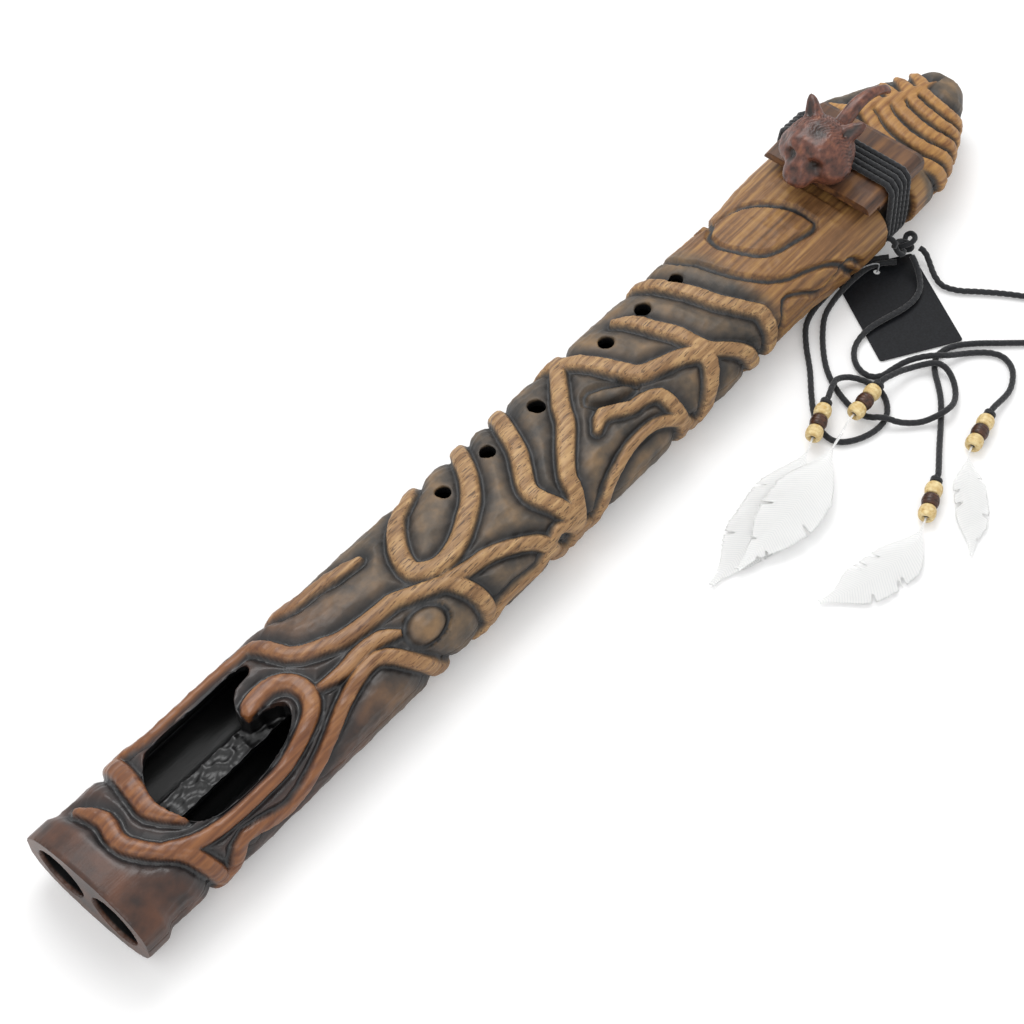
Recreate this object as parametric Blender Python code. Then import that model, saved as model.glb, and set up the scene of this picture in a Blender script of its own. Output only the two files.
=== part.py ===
# Carved wooden double flute with its tied block, cords, beads, feathers and hang card.
# Units are metres. +X runs from the foot to the mouth, +Y to the player's melody bore, +Z up.
# The origin is under the middle of the body, on the surface that the flute lies on.

import math

import bmesh
import bpy
import numpy as np
from mathutils import Matrix, Vector

# Body
BODY_LENGTH = 0.630
BODY_HEIGHT = 0.042
BODY_HALF_WIDTH = 0.0358
RIM_HALF_WIDTH = 0.0366
RIM_LENGTH = 0.011
NECK_DEPTH = 0.0018
HEAD_HALF_WIDTH = 0.0392
HEAD_LENGTH = 0.135
NOSE_LENGTH = 0.062
TIP_HALF_WIDTH = 0.0125
TIP_DROP = 0.009
TIP_RISE = 0.006
SECTION_POWER = 2.5
BASE_FLAT_DEPTH = 0.0005
GLUE_GAP = 0.0003

# Bores and air ways
BORE_RADIUS = 0.013
BORE_SPREAD = 0.0162
SOUND_CHAMBER_LENGTH = 0.516
STOP_WALL = 0.014
SLOW_CHAMBER_RADIUS = 0.010
SLOW_CHAMBER_LENGTH = 0.058
MOUTH_HOLE_RADIUS = 0.0034
MOUTH_HOLE_SPREAD = 0.0062
SOUND_HOLE_LENGTH = 0.0065
SOUND_HOLE_WIDTH = 0.009
FLUE_INLET_LENGTH = 0.006
FLUE_DEPTH = 0.0011
NEST_DEPTH = 0.002
NEST_HALF_WIDTH = 0.027

# Finger holes: distance from the foot and diameter
FINGER_HOLES = (
    (0.239, 0.0080),
    (0.270, 0.0084),
    (0.3055, 0.0093),
    (0.3575, 0.0084),
    (0.386, 0.0086),
    (0.412, 0.0082),
)
FINGER_HOLE_SPREAD = 0.0175

# Carved window near the foot: distance from the foot, place across, going round
WINDOW_OUTLINE = (
    (0.057, 0.023), (0.050, 0.017), (0.045, 0.009), (0.043, 0.001), (0.044, -0.007),
    (0.047, -0.015), (0.051, -0.019), (0.058, -0.0215), (0.068, -0.0225), (0.080, -0.0225),
    (0.092, -0.0205), (0.102, -0.0175), (0.110, -0.012), (0.112, -0.005), (0.105, -0.001),
    (0.096, 0.000), (0.096, 0.008), (0.103, 0.015), (0.112, 0.016), (0.115, 0.021),
    (0.108, 0.0255), (0.092, 0.026), (0.076, 0.026), (0.064, 0.0255),
)
WINDOW_FLOOR = 0.029

# Block plank
SEAT_GAP = 0.0003
PLANK_LENGTH = 0.050
PLANK_HALF_WIDTH = 0.033
PLANK_THICKNESS = 0.009
PLANK_ROUND = 0.0045
PLANK_ROOF_LENGTH = 0.010
PLANK_ROOF_RISE = 0.0035

# Cat head
HEAD_CENTRE_AHEAD = 0.004
HEAD_OFFSET = 0.004
HEAD_SIZE = (0.0172, 0.0185, 0.0165)

# Cord
CORD_DIAMETER = 0.0032
WINDING_TURNS = 5
WINDING_PITCH = 0.0037
WINDING_GAP = 0.0005
WINDING_SEAT_DEPTH = 0.0044
WINDING_SETBACK = 0.0165
LOOP_POINTS = 24
KNOT_SIZE = (0.0105, 0.0045, 0.0052)

# Beads, knots above them, feathers
BEAD_RADIUS = 0.0044
BEAD_LENGTH = 0.0068
BEAD_GAP = 0.0003
BEAD_BORE_CLEARANCE = 0.0004
BEADS_ON_A_TAIL = 3
TAIL_KNOT_RADIUS = 0.0031
TAIL_KNOT_LENGTH = 0.0042
QUILL_RADIUS = 0.0007
FEATHER_THICKNESS = 0.0006

# Hang card and its string
CARD_SIZE = (0.046, 0.063, 0.0005)
CARD_LIFT = 0.0002
CARD_HOLE_RADIUS = 0.0018
STRING_DIAMETER = 0.0008

MM = 0.001
MID_HEIGHT = BODY_HEIGHT / 2
BORE_SEGMENTS = 32


def from_foot(distance):
    """Place along X of a point at this distance from the foot."""
    return distance - BODY_LENGTH / 2


def smooth(value):
    value = min(1.0, max(0.0, value))
    return value * value * (3 - 2 * value)


def make_material(name, colour, roughness, metallic=0.0):
    material = bpy.data.materials.new(name)
    material.use_nodes = True
    shader = material.node_tree.nodes["Principled BSDF"]
    shader.inputs["Base Color"].default_value = (*colour, 1.0)
    shader.inputs["Roughness"].default_value = roughness
    shader.inputs["Metallic"].default_value = metallic
    return material


def add_object(name, bm, material=None, sharp_angle=35.0):
    bmesh.ops.recalc_face_normals(bm, faces=bm.faces)
    mesh = bpy.data.meshes.new(name)
    bm.to_mesh(mesh)
    bm.free()
    obj = bpy.data.objects.new(name, mesh)
    bpy.context.scene.collection.objects.link(obj)
    if material:
        mesh.materials.append(material)
    mesh.shade_smooth()
    mesh.set_sharp_from_angle(angle=math.radians(sharp_angle))
    return obj


def loft(rings):
    """Closed solid through rings of equal point counts, with a cap at each end."""
    bm = bmesh.new()
    rows = [[bm.verts.new(point) for point in ring] for ring in rings]
    count = len(rows[0])
    for row, following in zip(rows, rows[1:]):
        for i in range(count):
            j = (i + 1) % count
            bm.faces.new((row[i], row[j], following[j], following[i]))
    bm.faces.new(list(reversed(rows[0])))
    bm.faces.new(rows[-1])
    return bm


def add_rod(bm, start, end, radius, segments=24, end_radius=None):
    """Cylinder or cone between two points, added to a mesh."""
    start, end = Vector(start), Vector(end)
    along = end - start
    turn = along.to_track_quat("Z", "Y").to_matrix().to_4x4()
    bmesh.ops.create_cone(
        bm, cap_ends=True, segments=segments, radius1=radius,
        radius2=radius if end_radius is None else end_radius, depth=along.length,
        matrix=Matrix.Translation((start + end) / 2) @ turn)


def add_block(bm, low, high):
    low, high = Vector(low), Vector(high)
    size = Matrix.Diagonal((*(high - low), 1.0))
    bmesh.ops.create_cube(bm, size=1.0, matrix=Matrix.Translation((low + high) / 2) @ size)


def cut(target, name, bm):
    cutter = add_object(name, bm)
    cutter.hide_render = True
    cutter.display_type = "WIRE"
    modifier = target.modifiers.new(name, "BOOLEAN")
    modifier.operation = "DIFFERENCE"
    modifier.object = cutter
    return cutter


def cut_with(target, cutter):
    modifier = target.modifiers.new(cutter.name, "BOOLEAN")
    modifier.operation = "DIFFERENCE"
    modifier.object = cutter


def catmull(points, steps, closed=False):
    """Smooth curve through hand-chosen points."""
    points = [Vector(point) for point in points]
    last = len(points) - 1
    spans = len(points) if closed else last
    curve = []
    for i in range(spans):
        if closed:
            a, b, c, d = (points[(i + k) % len(points)] for k in (-1, 0, 1, 2))
        else:
            a, b, c, d = (points[min(last, max(0, i + k))] for k in (-1, 0, 1, 2))
        for step in range(steps):
            t = step / steps
            curve.append(0.5 * (2 * b + (c - a) * t + (2 * a - 5 * b + 4 * c - d) * t * t
                                + (3 * b - a - 3 * c + d) * t ** 3))
    if not closed:
        curve.append(points[-1])
    return curve


def resample(points, spacing):
    """Points at an even distance along a line, with both its ends."""
    points = np.array([tuple(point) for point in points])
    reach = np.concatenate(([0.0], np.cumsum(np.linalg.norm(np.diff(points, axis=0), axis=1))))
    count = max(2, int(round(reach[-1] / spacing)))
    marks = np.linspace(0.0, reach[-1], count + 1)
    return [Vector([np.interp(mark, reach, points[:, k]) for k in range(3)]) for mark in marks]


def add_tube(name, points, diameter, material, bevel_resolution=2):
    curve = bpy.data.curves.new(name, "CURVE")
    curve.dimensions = "3D"
    curve.bevel_depth = diameter / 2
    curve.bevel_resolution = bevel_resolution
    curve.use_fill_caps = True
    spline = curve.splines.new("POLY")
    spline.points.add(len(points) - 1)
    for target, point in zip(spline.points, points):
        target.co = (*point, 1.0)
    obj = bpy.data.objects.new(name, curve)
    bpy.context.scene.collection.objects.link(obj)
    curve.materials.append(material)
    return obj


# Body halves

PLANK_FRONT = SOUND_CHAMBER_LENGTH - PLANK_ROOF_LENGTH
WINDING_START = PLANK_FRONT + WINDING_SETBACK
WINDING_WIDTH = WINDING_TURNS * WINDING_PITCH + CORD_DIAMETER
SEAT_START = WINDING_START - CORD_DIAMETER
SEAT_END = WINDING_START + WINDING_WIDTH
SEAT_WALL = 0.0015


def in_cord_seat(x):
    """1 in the recess that the winding lies in, 0 outside it."""
    return smooth((x - SEAT_START) / SEAT_WALL) * (1 - smooth((x - SEAT_END) / SEAT_WALL))


def body_half_width(x):
    width = BODY_HALF_WIDTH
    width += (RIM_HALF_WIDTH - BODY_HALF_WIDTH) * (1 - smooth((x - RIM_LENGTH) / 0.004))
    width -= NECK_DEPTH * smooth((x - RIM_LENGTH) / 0.004) * (1 - smooth((x - 0.020) / 0.030))
    head_start = BODY_LENGTH - HEAD_LENGTH
    width += (HEAD_HALF_WIDTH - BODY_HALF_WIDTH) * smooth((x - head_start + 0.035) / 0.035)
    nose = max(0.0, (x - BODY_LENGTH + NOSE_LENGTH) / NOSE_LENGTH)
    width += (TIP_HALF_WIDTH - width) * nose ** 1.5
    return width - WINDING_SEAT_DEPTH * in_cord_seat(x)


def body_section(x, arc):
    """Points across the body at one station, for angles in arc measured from +Y."""
    nose = max(0.0, (x - BODY_LENGTH + NOSE_LENGTH) / NOSE_LENGTH)
    width = body_half_width(x)
    above = MID_HEIGHT - TIP_DROP * nose ** 2.5
    below = MID_HEIGHT + BASE_FLAT_DEPTH - TIP_RISE * nose ** 2 - WINDING_SEAT_DEPTH * in_cord_seat(x)
    floor = max(0.0, MID_HEIGHT - below)
    points = []
    for angle in arc:
        c, s = math.cos(angle), math.sin(angle)
        y = width * math.copysign(abs(c) ** (2 / SECTION_POWER), c)
        rise = above if s > 0 else below
        z = MID_HEIGHT + rise * math.copysign(abs(s) ** (2 / SECTION_POWER), s)
        points.append((from_foot(x), y, max(z, floor)))
    return points


def body_stations():
    stations = [0.0, RIM_LENGTH, RIM_LENGTH + 0.002, RIM_LENGTH + 0.004, 0.020, 0.035, 0.050]
    stations += list(np.arange(0.075, BODY_LENGTH - HEAD_LENGTH - 0.040, 0.025))
    stations += list(np.linspace(BODY_LENGTH - HEAD_LENGTH - 0.035, SEAT_START - 0.003, 5))
    stations += [SEAT_START, SEAT_START + SEAT_WALL / 2, SEAT_START + SEAT_WALL]
    stations += [SEAT_END, SEAT_END + SEAT_WALL / 2, SEAT_END + SEAT_WALL]
    nose_start = BODY_LENGTH - NOSE_LENGTH
    stations += [nose_start + NOSE_LENGTH * k / 10 for k in range(1, 11)]
    return sorted(stations)


def make_half(name, upper, material):
    steps = 18
    rings = []
    for x in body_stations():
        if upper:
            ring = body_section(x, [math.pi * k / steps for k in range(steps + 1)])
            limit = MID_HEIGHT + GLUE_GAP / 2
            ring = [(a, b, max(c, limit)) for a, b, c in ring]
        else:
            ring = body_section(x, [math.pi + math.pi * k / steps for k in range(steps + 1)])
            limit = MID_HEIGHT - GLUE_GAP / 2
            ring = [(a, b, min(c, limit)) for a, b, c in ring]
        rings.append(ring)
    return add_object(name, loft(rings), material)


def make_air_ways():
    """Cutters shared by both halves: bores, slow air chambers and mouth holes."""
    bores, chambers, mouths = bmesh.new(), bmesh.new(), bmesh.new()
    chamber_start = SOUND_CHAMBER_LENGTH + STOP_WALL
    chamber_end = chamber_start + SLOW_CHAMBER_LENGTH
    for side in (1, -1):
        y = side * BORE_SPREAD
        add_rod(bores, (from_foot(-0.005), y, MID_HEIGHT), (from_foot(SOUND_CHAMBER_LENGTH), y, MID_HEIGHT),
                BORE_RADIUS, BORE_SEGMENTS)
        add_rod(chambers, (from_foot(chamber_start), y, MID_HEIGHT), (from_foot(chamber_end), y, MID_HEIGHT),
                SLOW_CHAMBER_RADIUS, BORE_SEGMENTS)
        inner = (from_foot(chamber_end - 0.006), side * (BORE_SPREAD - 0.003), MID_HEIGHT)
        outer = (from_foot(BODY_LENGTH + 0.003), side * (MOUTH_HOLE_SPREAD - 0.0006), MID_HEIGHT)
        add_rod(mouths, inner, outer, MOUTH_HOLE_RADIUS, 16)
    return (("bore_cutter", bores), ("slow_chamber_cutter", chambers), ("mouth_hole_cutter", mouths))


def make_body(material):
    upper = make_half("body_upper_half", True, material)
    lower = make_half("body_lower_half", False, material)
    for name, bm in make_air_ways():
        cutter = cut(upper, name, bm)
        cut_with(lower, cutter)

    nest = bmesh.new()
    nest_floor = BODY_HEIGHT - NEST_DEPTH
    add_block(nest, (from_foot(PLANK_FRONT - 0.004), -NEST_HALF_WIDTH, nest_floor),
              (from_foot(PLANK_FRONT + PLANK_LENGTH + 0.004), NEST_HALF_WIDTH, BODY_HEIGHT + 0.004))
    cut(upper, "nest_cutter", nest)

    holes = bmesh.new()
    for distance, diameter in FINGER_HOLES:
        base = (from_foot(distance), FINGER_HOLE_SPREAD, MID_HEIGHT + 0.004)
        add_rod(holes, base, (base[0], base[1], BODY_HEIGHT + 0.004), diameter / 2, 20)
    cut(upper, "finger_hole_cutter", holes)

    outline = catmull([(from_foot(x), y, WINDOW_FLOOR) for x, y in WINDOW_OUTLINE], 2, closed=True)
    top = BODY_HEIGHT + 0.004
    window = loft([outline, [(point.x, point.y, top) for point in outline]])
    cut(upper, "window_cutter", window)

    sound_holes, flues = bmesh.new(), bmesh.new()
    hole_end = SOUND_CHAMBER_LENGTH
    inlet_start = SOUND_CHAMBER_LENGTH + STOP_WALL + 0.001
    flue_floor = nest_floor - FLUE_DEPTH
    for side in (1, -1):
        low, high = side * BORE_SPREAD - SOUND_HOLE_WIDTH / 2, side * BORE_SPREAD + SOUND_HOLE_WIDTH / 2
        add_block(sound_holes, (from_foot(hole_end - SOUND_HOLE_LENGTH), low, MID_HEIGHT + 0.004),
                  (from_foot(hole_end - 0.0004), high, nest_floor + 0.002))
        add_block(sound_holes, (from_foot(inlet_start), low, MID_HEIGHT + 0.004),
                  (from_foot(inlet_start + FLUE_INLET_LENGTH), high, nest_floor + 0.002))
        add_block(flues, (from_foot(hole_end - 0.002), low + 0.0003, flue_floor),
                  (from_foot(inlet_start + 0.002), high - 0.0003, nest_floor + 0.0015))
    cut(upper, "sound_hole_cutter", sound_holes)
    cut(upper, "flue_cutter", flues)
    return upper, lower


# Block: plank and cat head

PLANK_UNDERSIDE = BODY_HEIGHT - NEST_DEPTH + SEAT_GAP
PLANK_TOP = PLANK_UNDERSIDE + PLANK_THICKNESS


def make_plank(material, parent):
    """Board with rounded ends, undercut in front so that it roofs the sound holes."""
    outline = []
    for side in (1, -1):
        corner = side * (PLANK_HALF_WIDTH - PLANK_ROUND)
        for k in range(5):
            angle = math.pi / 2 * k / 4
            turn = angle if side > 0 else math.pi / 2 - angle
            y = corner + side * PLANK_ROUND * math.cos(turn)
            z = PLANK_TOP - PLANK_ROUND + PLANK_ROUND * math.sin(turn)
            outline.append((y, z))
    front, back = from_foot(PLANK_FRONT), from_foot(PLANK_FRONT + PLANK_LENGTH)
    step = from_foot(PLANK_FRONT + PLANK_ROOF_LENGTH)
    rings = []
    for x, bottom in ((front, PLANK_UNDERSIDE + PLANK_ROOF_RISE), (step, PLANK_UNDERSIDE + PLANK_ROOF_RISE),
                      (step + 0.0001, PLANK_UNDERSIDE), (back - 0.003, PLANK_UNDERSIDE),
                      (back, PLANK_UNDERSIDE)):
        drop = 0.0012 if x in (front, back) else 0.0
        ring = [(x, y, max(bottom, z - drop)) for y, z in outline]
        ring.append((x, outline[-1][0], bottom))
        ring.append((x, outline[0][0], bottom))
        rings.append(ring)
    obj = add_object("block_plank", loft(rings), material)
    obj.parent = parent
    return obj


def bump(direction, centre, radius):
    """Smooth swelling, 1 where the direction meets the centre and 0 beyond the radius."""
    angle = direction.angle(Vector(centre).normalized())
    return smooth(1 - angle / radius)


def head_reach(direction):
    """Distance from the middle of the cat head to its surface, for one direction."""
    d = direction
    a, b, c = HEAD_SIZE
    reach = 1 / math.sqrt((d.x / a) ** 2 + (d.y / b) ** 2 + (d.z / c) ** 2)
    for side in (1, -1):
        reach += 0.0026 * bump(d, (-0.35, side * 0.85, -0.25), 0.75)
        reach += 0.0016 * bump(d, (-0.70, side * 0.42, 0.52), 0.42)
        reach -= 0.0024 * bump(d, (-0.88, side * 0.40, 0.18), 0.34)
        reach += 0.0105 * bump(d, (0.46, side * 0.60, 0.64), 0.36) ** 1.4
    reach += 0.0075 * bump(d, (-0.94, 0.0, -0.26), 0.68)
    reach -= 0.0016 * bump(d, (-0.98, 0.0, -0.02), 0.20)
    reach -= 0.0030 * bump(d, (-0.86, 0.0, -0.50), 0.26)
    reach -= 0.0022 * bump(d, (-0.30, 0.0, 0.95), 0.50)
    return reach


def make_cat_head(material, parent):
    bm = bmesh.new()
    bmesh.ops.create_icosphere(bm, subdivisions=4, radius=1.0)
    centre = Vector((from_foot(PLANK_FRONT) + HEAD_CENTRE_AHEAD, HEAD_OFFSET, PLANK_TOP + HEAD_SIZE[2] - 0.001))
    neck_back = from_foot(WINDING_START) - CORD_DIAMETER / 2 - SEAT_GAP - 0.001
    for vert in bm.verts:
        direction = vert.co.normalized()
        point = centre + direction * head_reach(direction)
        point.z = max(point.z, PLANK_TOP + SEAT_GAP)
        if point.z < PLANK_TOP + CORD_DIAMETER + 0.003:
            point.x = min(point.x, neck_back)
        vert.co = point
    obj = add_object("cat_head", bm, material, sharp_angle=60.0)
    obj.parent = parent
    return obj


# Cord winding and its knot

def winding_outline():
    """Line that the cord's middle follows round the body, the cord seat and the plank."""
    middle = WINDING_START + WINDING_WIDTH / 2
    section = body_section(middle, [2 * math.pi * k / 72 for k in range(72)])
    solid = [(y, z) for _, y, z in section]
    corner_y, corner_z = PLANK_HALF_WIDTH - PLANK_ROUND, PLANK_TOP - PLANK_ROUND
    for k in range(9):
        angle = math.pi / 2 * k / 8
        for side in (1, -1):
            solid.append((side * (corner_y + PLANK_ROUND * math.cos(angle)),
                          corner_z + PLANK_ROUND * math.sin(angle)))
    solid = np.array(solid)
    offset = CORD_DIAMETER / 2 + WINDING_GAP
    line, turning = [], []
    for k in range(1440):
        angle = -2 * math.pi * k / 1440
        outward = np.array((math.cos(angle), math.sin(angle)))
        line.append(solid[int(np.argmax(solid @ outward))] + offset * outward)
        turning.append(k / 1440)
    line = np.array(line + line[:1])
    turning = np.array(turning + [1.0])
    reach = np.concatenate(([0.0], np.cumsum(np.linalg.norm(np.diff(line, axis=0), axis=1))))
    measure = 0.4 * reach / reach[-1] + 0.6 * turning
    return line, measure


def winding_points():
    line, measure = winding_outline()
    # the turns begin on the drone side, above the knot, and run up over the plank
    drone_side = int(np.argmin(line[:, 0] + 0.02 * np.abs(line[:, 1] - MID_HEIGHT)))
    start = measure[drone_side]
    points = []
    for k in range(WINDING_TURNS * LOOP_POINTS - 4):
        share = k / LOOP_POINTS
        where = (start + share) % 1.0
        y = np.interp(where, measure, line[:, 0])
        z = np.interp(where, measure, line[:, 1])
        points.append(Vector((from_foot(WINDING_START + share * WINDING_PITCH), y, z)))
    first = points[0]
    lead = [Vector((first.x, KNOT_CENTRE.y + 0.0012, KNOT_CENTRE.z + KNOT_SIZE[2] + SEAT_GAP)),
            Vector((first.x, KNOT_CENTRE.y + 0.0012, KNOT_CENTRE.z + KNOT_SIZE[2] + CORD_DIAMETER)),
            first + Vector((0.0, -0.0014, -0.0022))]
    return lead + points


def least_self_gap(points, diameter):
    """Smallest clear distance between stretches of one tube that aren't neighbours on it."""
    dense = np.array([tuple(point) for point in resample(points, 0.0012)])
    skip = int(math.ceil(3 * diameter / 0.0012))
    least = 1.0
    for i in range(len(dense) - skip):
        away = np.linalg.norm(dense[i + skip:] - dense[i], axis=1)
        least = min(least, float(away.min()))
    return least - diameter


KNOT_CENTRE = Vector((
    from_foot(WINDING_START + WINDING_WIDTH / 2 - CORD_DIAMETER / 2),
    -(HEAD_HALF_WIDTH - WINDING_SEAT_DEPTH + WINDING_GAP + CORD_DIAMETER + KNOT_SIZE[1] + 0.0006),
    0.0095))


def make_winding(material):
    points = winding_points()
    print("winding, least gap to itself in mm:", round(least_self_gap(points, CORD_DIAMETER) * 1000, 3))
    add_tube("cord_winding", points, CORD_DIAMETER, material, bevel_resolution=1)
    knot = bmesh.new()
    bmesh.ops.create_uvsphere(knot, u_segments=16, v_segments=8, radius=1.0)
    for vert in knot.verts:
        around = math.atan2(vert.co.z, vert.co.y)
        swell = 1 - 0.10 * (0.5 + 0.5 * math.cos(3 * around + 9 * vert.co.x))
        vert.co = KNOT_CENTRE + Vector(k * s * swell for k, s in zip(vert.co, KNOT_SIZE))
    add_object("winding_knot", knot, material)


# Free cord tails: route points in millimetres, then the line through the beads

TAILS = (
    {"name": "tail_1",
     "route": ((221, -50.5, 8.6), (221.5, -54, 7.0), (219, -59, 4.4), (214.5, -65, 3.4), (212, -72, 2.4), (215, -80, 1.9),
               (221, -88, 1.8), (228, -98, 1.8), (234, -108, 1.8), (240, -119, 1.8), (241, -130, 1.8),
               (234, -139, 1.8), (223, -140, 1.8), (214, -133, 1.8), (207, -125, 1.8), (199, -116, 1.8),
               (191, -107, 1.8), (183, -100, 1.8), (175, -96.5, 1.8), (168, -97, 1.7), (161, -101.5, 1.8),
               (155.5, -107, 1.8), (149.5, -112.5, 1.8), (142.5, -117.5, 1.8), (133, -123.5, 1.8), (122, -130, 2.4)),
     "beads": ((104.5, -140.0, 4.6), (80.7, -149.3, 4.6)),
     "feather": ((75, -151, 4.2), (68, -152.5, 3.4), (58, -153, 2.6), (46, -151.5, 2.2), (34, -148.5, 2.0),
                 (22, -144, 1.8), (11, -138, 1.6)),
     "vane": 11.5, "vane_start": 0.07},
    {"name": "tail_2",
     "route": ((214, -50.3, 8.2), (212.5, -54, 6.4), (208.5, -59.5, 4.0), (202, -64.5, 3.2), (194, -66.5, 3.0),
               (184, -65.5, 3.0), (173, -62.5, 3.0), (162, -60, 2.8), (151, -60.5, 2.0), (143, -64.5, 1.8),
               (138, -71, 1.8), (137.5, -78, 1.8), (142, -82.5, 1.8), (149, -84.2, 2.0), (156.5, -87, 3.2),
               (163, -92, 4.8), (168, -97.2, 5.6), (173, -101.5, 4.4), (179, -104.8, 2.5), (185, -109.5, 1.8),
               (190, -115.5, 1.8), (192, -122, 1.8), (189, -129, 1.8), (182, -134, 1.8), (173, -136.8, 2.4)),
     "beads": ((156.0, -137.5, 4.6), (130.6, -142.5, 4.6)),
     "feather": ((126, -144.0, 4.0), (120, -148, 3.2), (112, -154, 2.4), (102, -162, 2.0), (91, -169.5, 1.8),
                 (79, -176.5, 1.6)),
     "vane": 8.0, "vane_start": 0.07},
    {"name": "tail_3",
     "route": ((208.2, -40.5, 5.0), (203.5, -35.5, 3.8), (197, -31.8, 2.9), (188, -30.8, 2.7), (178, -30.2, 2.4),
               (166, -30.0, 1.8), (155, -30.8, 1.8), (144, -34.0, 1.8), (133, -42, 1.8), (121, -53, 1.8),
               (109, -62.5, 1.8), (99, -71.5, 1.8), (93, -80.5, 1.8), (92.5, -89, 1.8), (99, -95.5, 1.8),
               (109, -99.5, 1.8), (119, -99.8, 1.7), (127.5, -95.5, 1.8), (133, -88, 1.8), (133.4, -79.5, 2.0),
               (129.5, -72.0, 3.6), (123.0, -68.4, 5.8), (117.0, -69.2, 7.5)),
     "beads": ((106.5, -73.0, 8.4), (82.0, -81.5, 7.6)),
     "feather": ((78, -83.0, 7.2), (70, -84.8, 6.0), (58, -86.5, 4.2), (42, -89, 2.8), (25, -91.5, 2.0),
                 (6, -93.5, 1.6), (-14, -94, 1.4)),
     "vane": 13.5, "vane_start": 0.07},
    {"name": "tail_4",
     "route": ((208.0, -45.5, 5.0), (202.5, -39.2, 3.9), (196, -35.6, 3.0), (187, -34.6, 2.9), (177, -34.4, 2.7),
               (167, -35.0, 2.2), (156, -37.4, 1.8), (146, -43.0, 1.8), (136, -50.5, 1.8), (128, -58, 1.8),
               (122, -66, 1.8), (117.5, -75, 1.8), (115, -84, 1.7), (115, -92, 2.3), (117.5, -99.6, 5.5),
               (122, -107, 3.4), (129, -114.0, 2.6), (136, -118.5, 4.4), (142, -120.6, 5.6), (149, -120.2, 3.8),
               (156, -117.0, 2.4), (162, -111.5, 2.8), (165, -105, 4.4), (163.5, -99.6, 5.6), (158.5, -94.6, 4.6),
               (152, -91, 4.8), (146, -89.2, 6.6)),
     "beads": ((132.0, -87.0, 9.0), (106.0, -88.5, 8.8)),
     "feather": ((101.5, -89.0, 8.8), (94, -90.5, 8.7), (82, -93, 8.6), (66, -96, 8.2), (46, -98.5, 7.2),
                 (24, -100, 6.0), (-1, -99, 4.8)),
     "vane": 14.5, "vane_start": 0.20},
)


def bead_line(tail):
    """Straight axis of a tail's beads: its start, its direction and the place of each bead."""
    start = Vector(tail["beads"][0]) * MM
    along = (Vector(tail["beads"][1]) * MM - start).normalized()
    places = [TAIL_KNOT_LENGTH + BEAD_GAP + k * (BEAD_LENGTH + BEAD_GAP) for k in range(BEADS_ON_A_TAIL)]
    return start, along, places


def tail_line(tail):
    start, along, places = bead_line(tail)
    cord_end = places[-1] + BEAD_LENGTH - 0.0015
    route = [Vector(point) * MM for point in tail["route"]]
    route += [start - along * 0.003, start + along * 0.004, start + along * cord_end]
    smooth_line = catmull(route[:-2], 6) + [start + along * 0.004, start + along * cord_end]
    return resample(smooth_line, 2.4 * CORD_DIAMETER)


def turned(name, start, along, profile, bore, material, segments=16):
    """Turned piece with a bore: profile gives distance along the axis and radius."""
    bm = bmesh.new()
    turn = along.to_track_quat("Z", "Y")
    inner = [(profile[-1][0], bore), (profile[0][0], bore)]
    closed = list(profile) + inner
    rows = []
    for k in range(segments):
        angle = 2 * math.pi * k / segments
        rows.append([bm.verts.new(start + turn @ Vector((r * math.cos(angle), r * math.sin(angle), h)))
                     for h, r in closed])
    for k in range(segments):
        row, following = rows[k], rows[(k + 1) % segments]
        for i in range(len(closed)):
            j = (i + 1) % len(closed)
            bm.faces.new((row[i], row[j], following[j], following[i]))
    return add_object(name, bm, material, sharp_angle=50.0)


def bead_profile():
    groove = 0.86
    length = BEAD_LENGTH
    return [(0.0, 0.72 * BEAD_RADIUS), (0.22 * length, BEAD_RADIUS), (0.34 * length, groove * BEAD_RADIUS),
            (0.46 * length, BEAD_RADIUS), (0.62 * length, BEAD_RADIUS), (0.72 * length, groove * BEAD_RADIUS),
            (0.82 * length, BEAD_RADIUS), (length, 0.72 * BEAD_RADIUS)]


def make_feather(tail, number, material):
    """Thin vane along the quill, with the bare quill running into the last bead."""
    start, along, places = bead_line(tail)
    bead_end = places[-1] + BEAD_LENGTH
    line = [start + along * (bead_end - 0.0010), start + along * (bead_end + 0.0012)]
    line += [Vector(point) * MM for point in tail["feather"]]
    line = resample(catmull(line, 6), 0.005)
    reach = len(line) - 1
    rings = []
    for k, point in enumerate(line):
        share = k / reach
        ahead = line[min(reach, k + 1)] - line[max(0, k - 1)]
        across = Vector((-ahead.y, ahead.x, 0)).normalized()
        vane = tail["vane"] * MM * smooth((share - tail["vane_start"]) / 0.25) * (1 - 0.9 * smooth((share - 0.55) / 0.45))
        half = max(QUILL_RADIUS, vane)
        thick = max(FEATHER_THICKNESS / 2, QUILL_RADIUS * (1 - share))
        edge = max(FEATHER_THICKNESS / 4, thick * (1 - smooth(vane / 0.004)))
        lift = 0.08 * half
        ring = []
        for side, height in ((1.0, edge), (0.4, thick), (0.0, thick), (-0.4, thick), (-1.0, edge),
                             (-1.0, -edge), (-0.4, -thick), (0.0, -thick), (0.4, -thick), (1.0, -edge)):
            arch = lift * (1 - side * side)
            ring.append(point + across * half * side + Vector((0, 0, height + arch)))
        rings.append(ring)
    return add_object("feather_%d" % number, loft(rings), material, sharp_angle=60.0)


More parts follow.
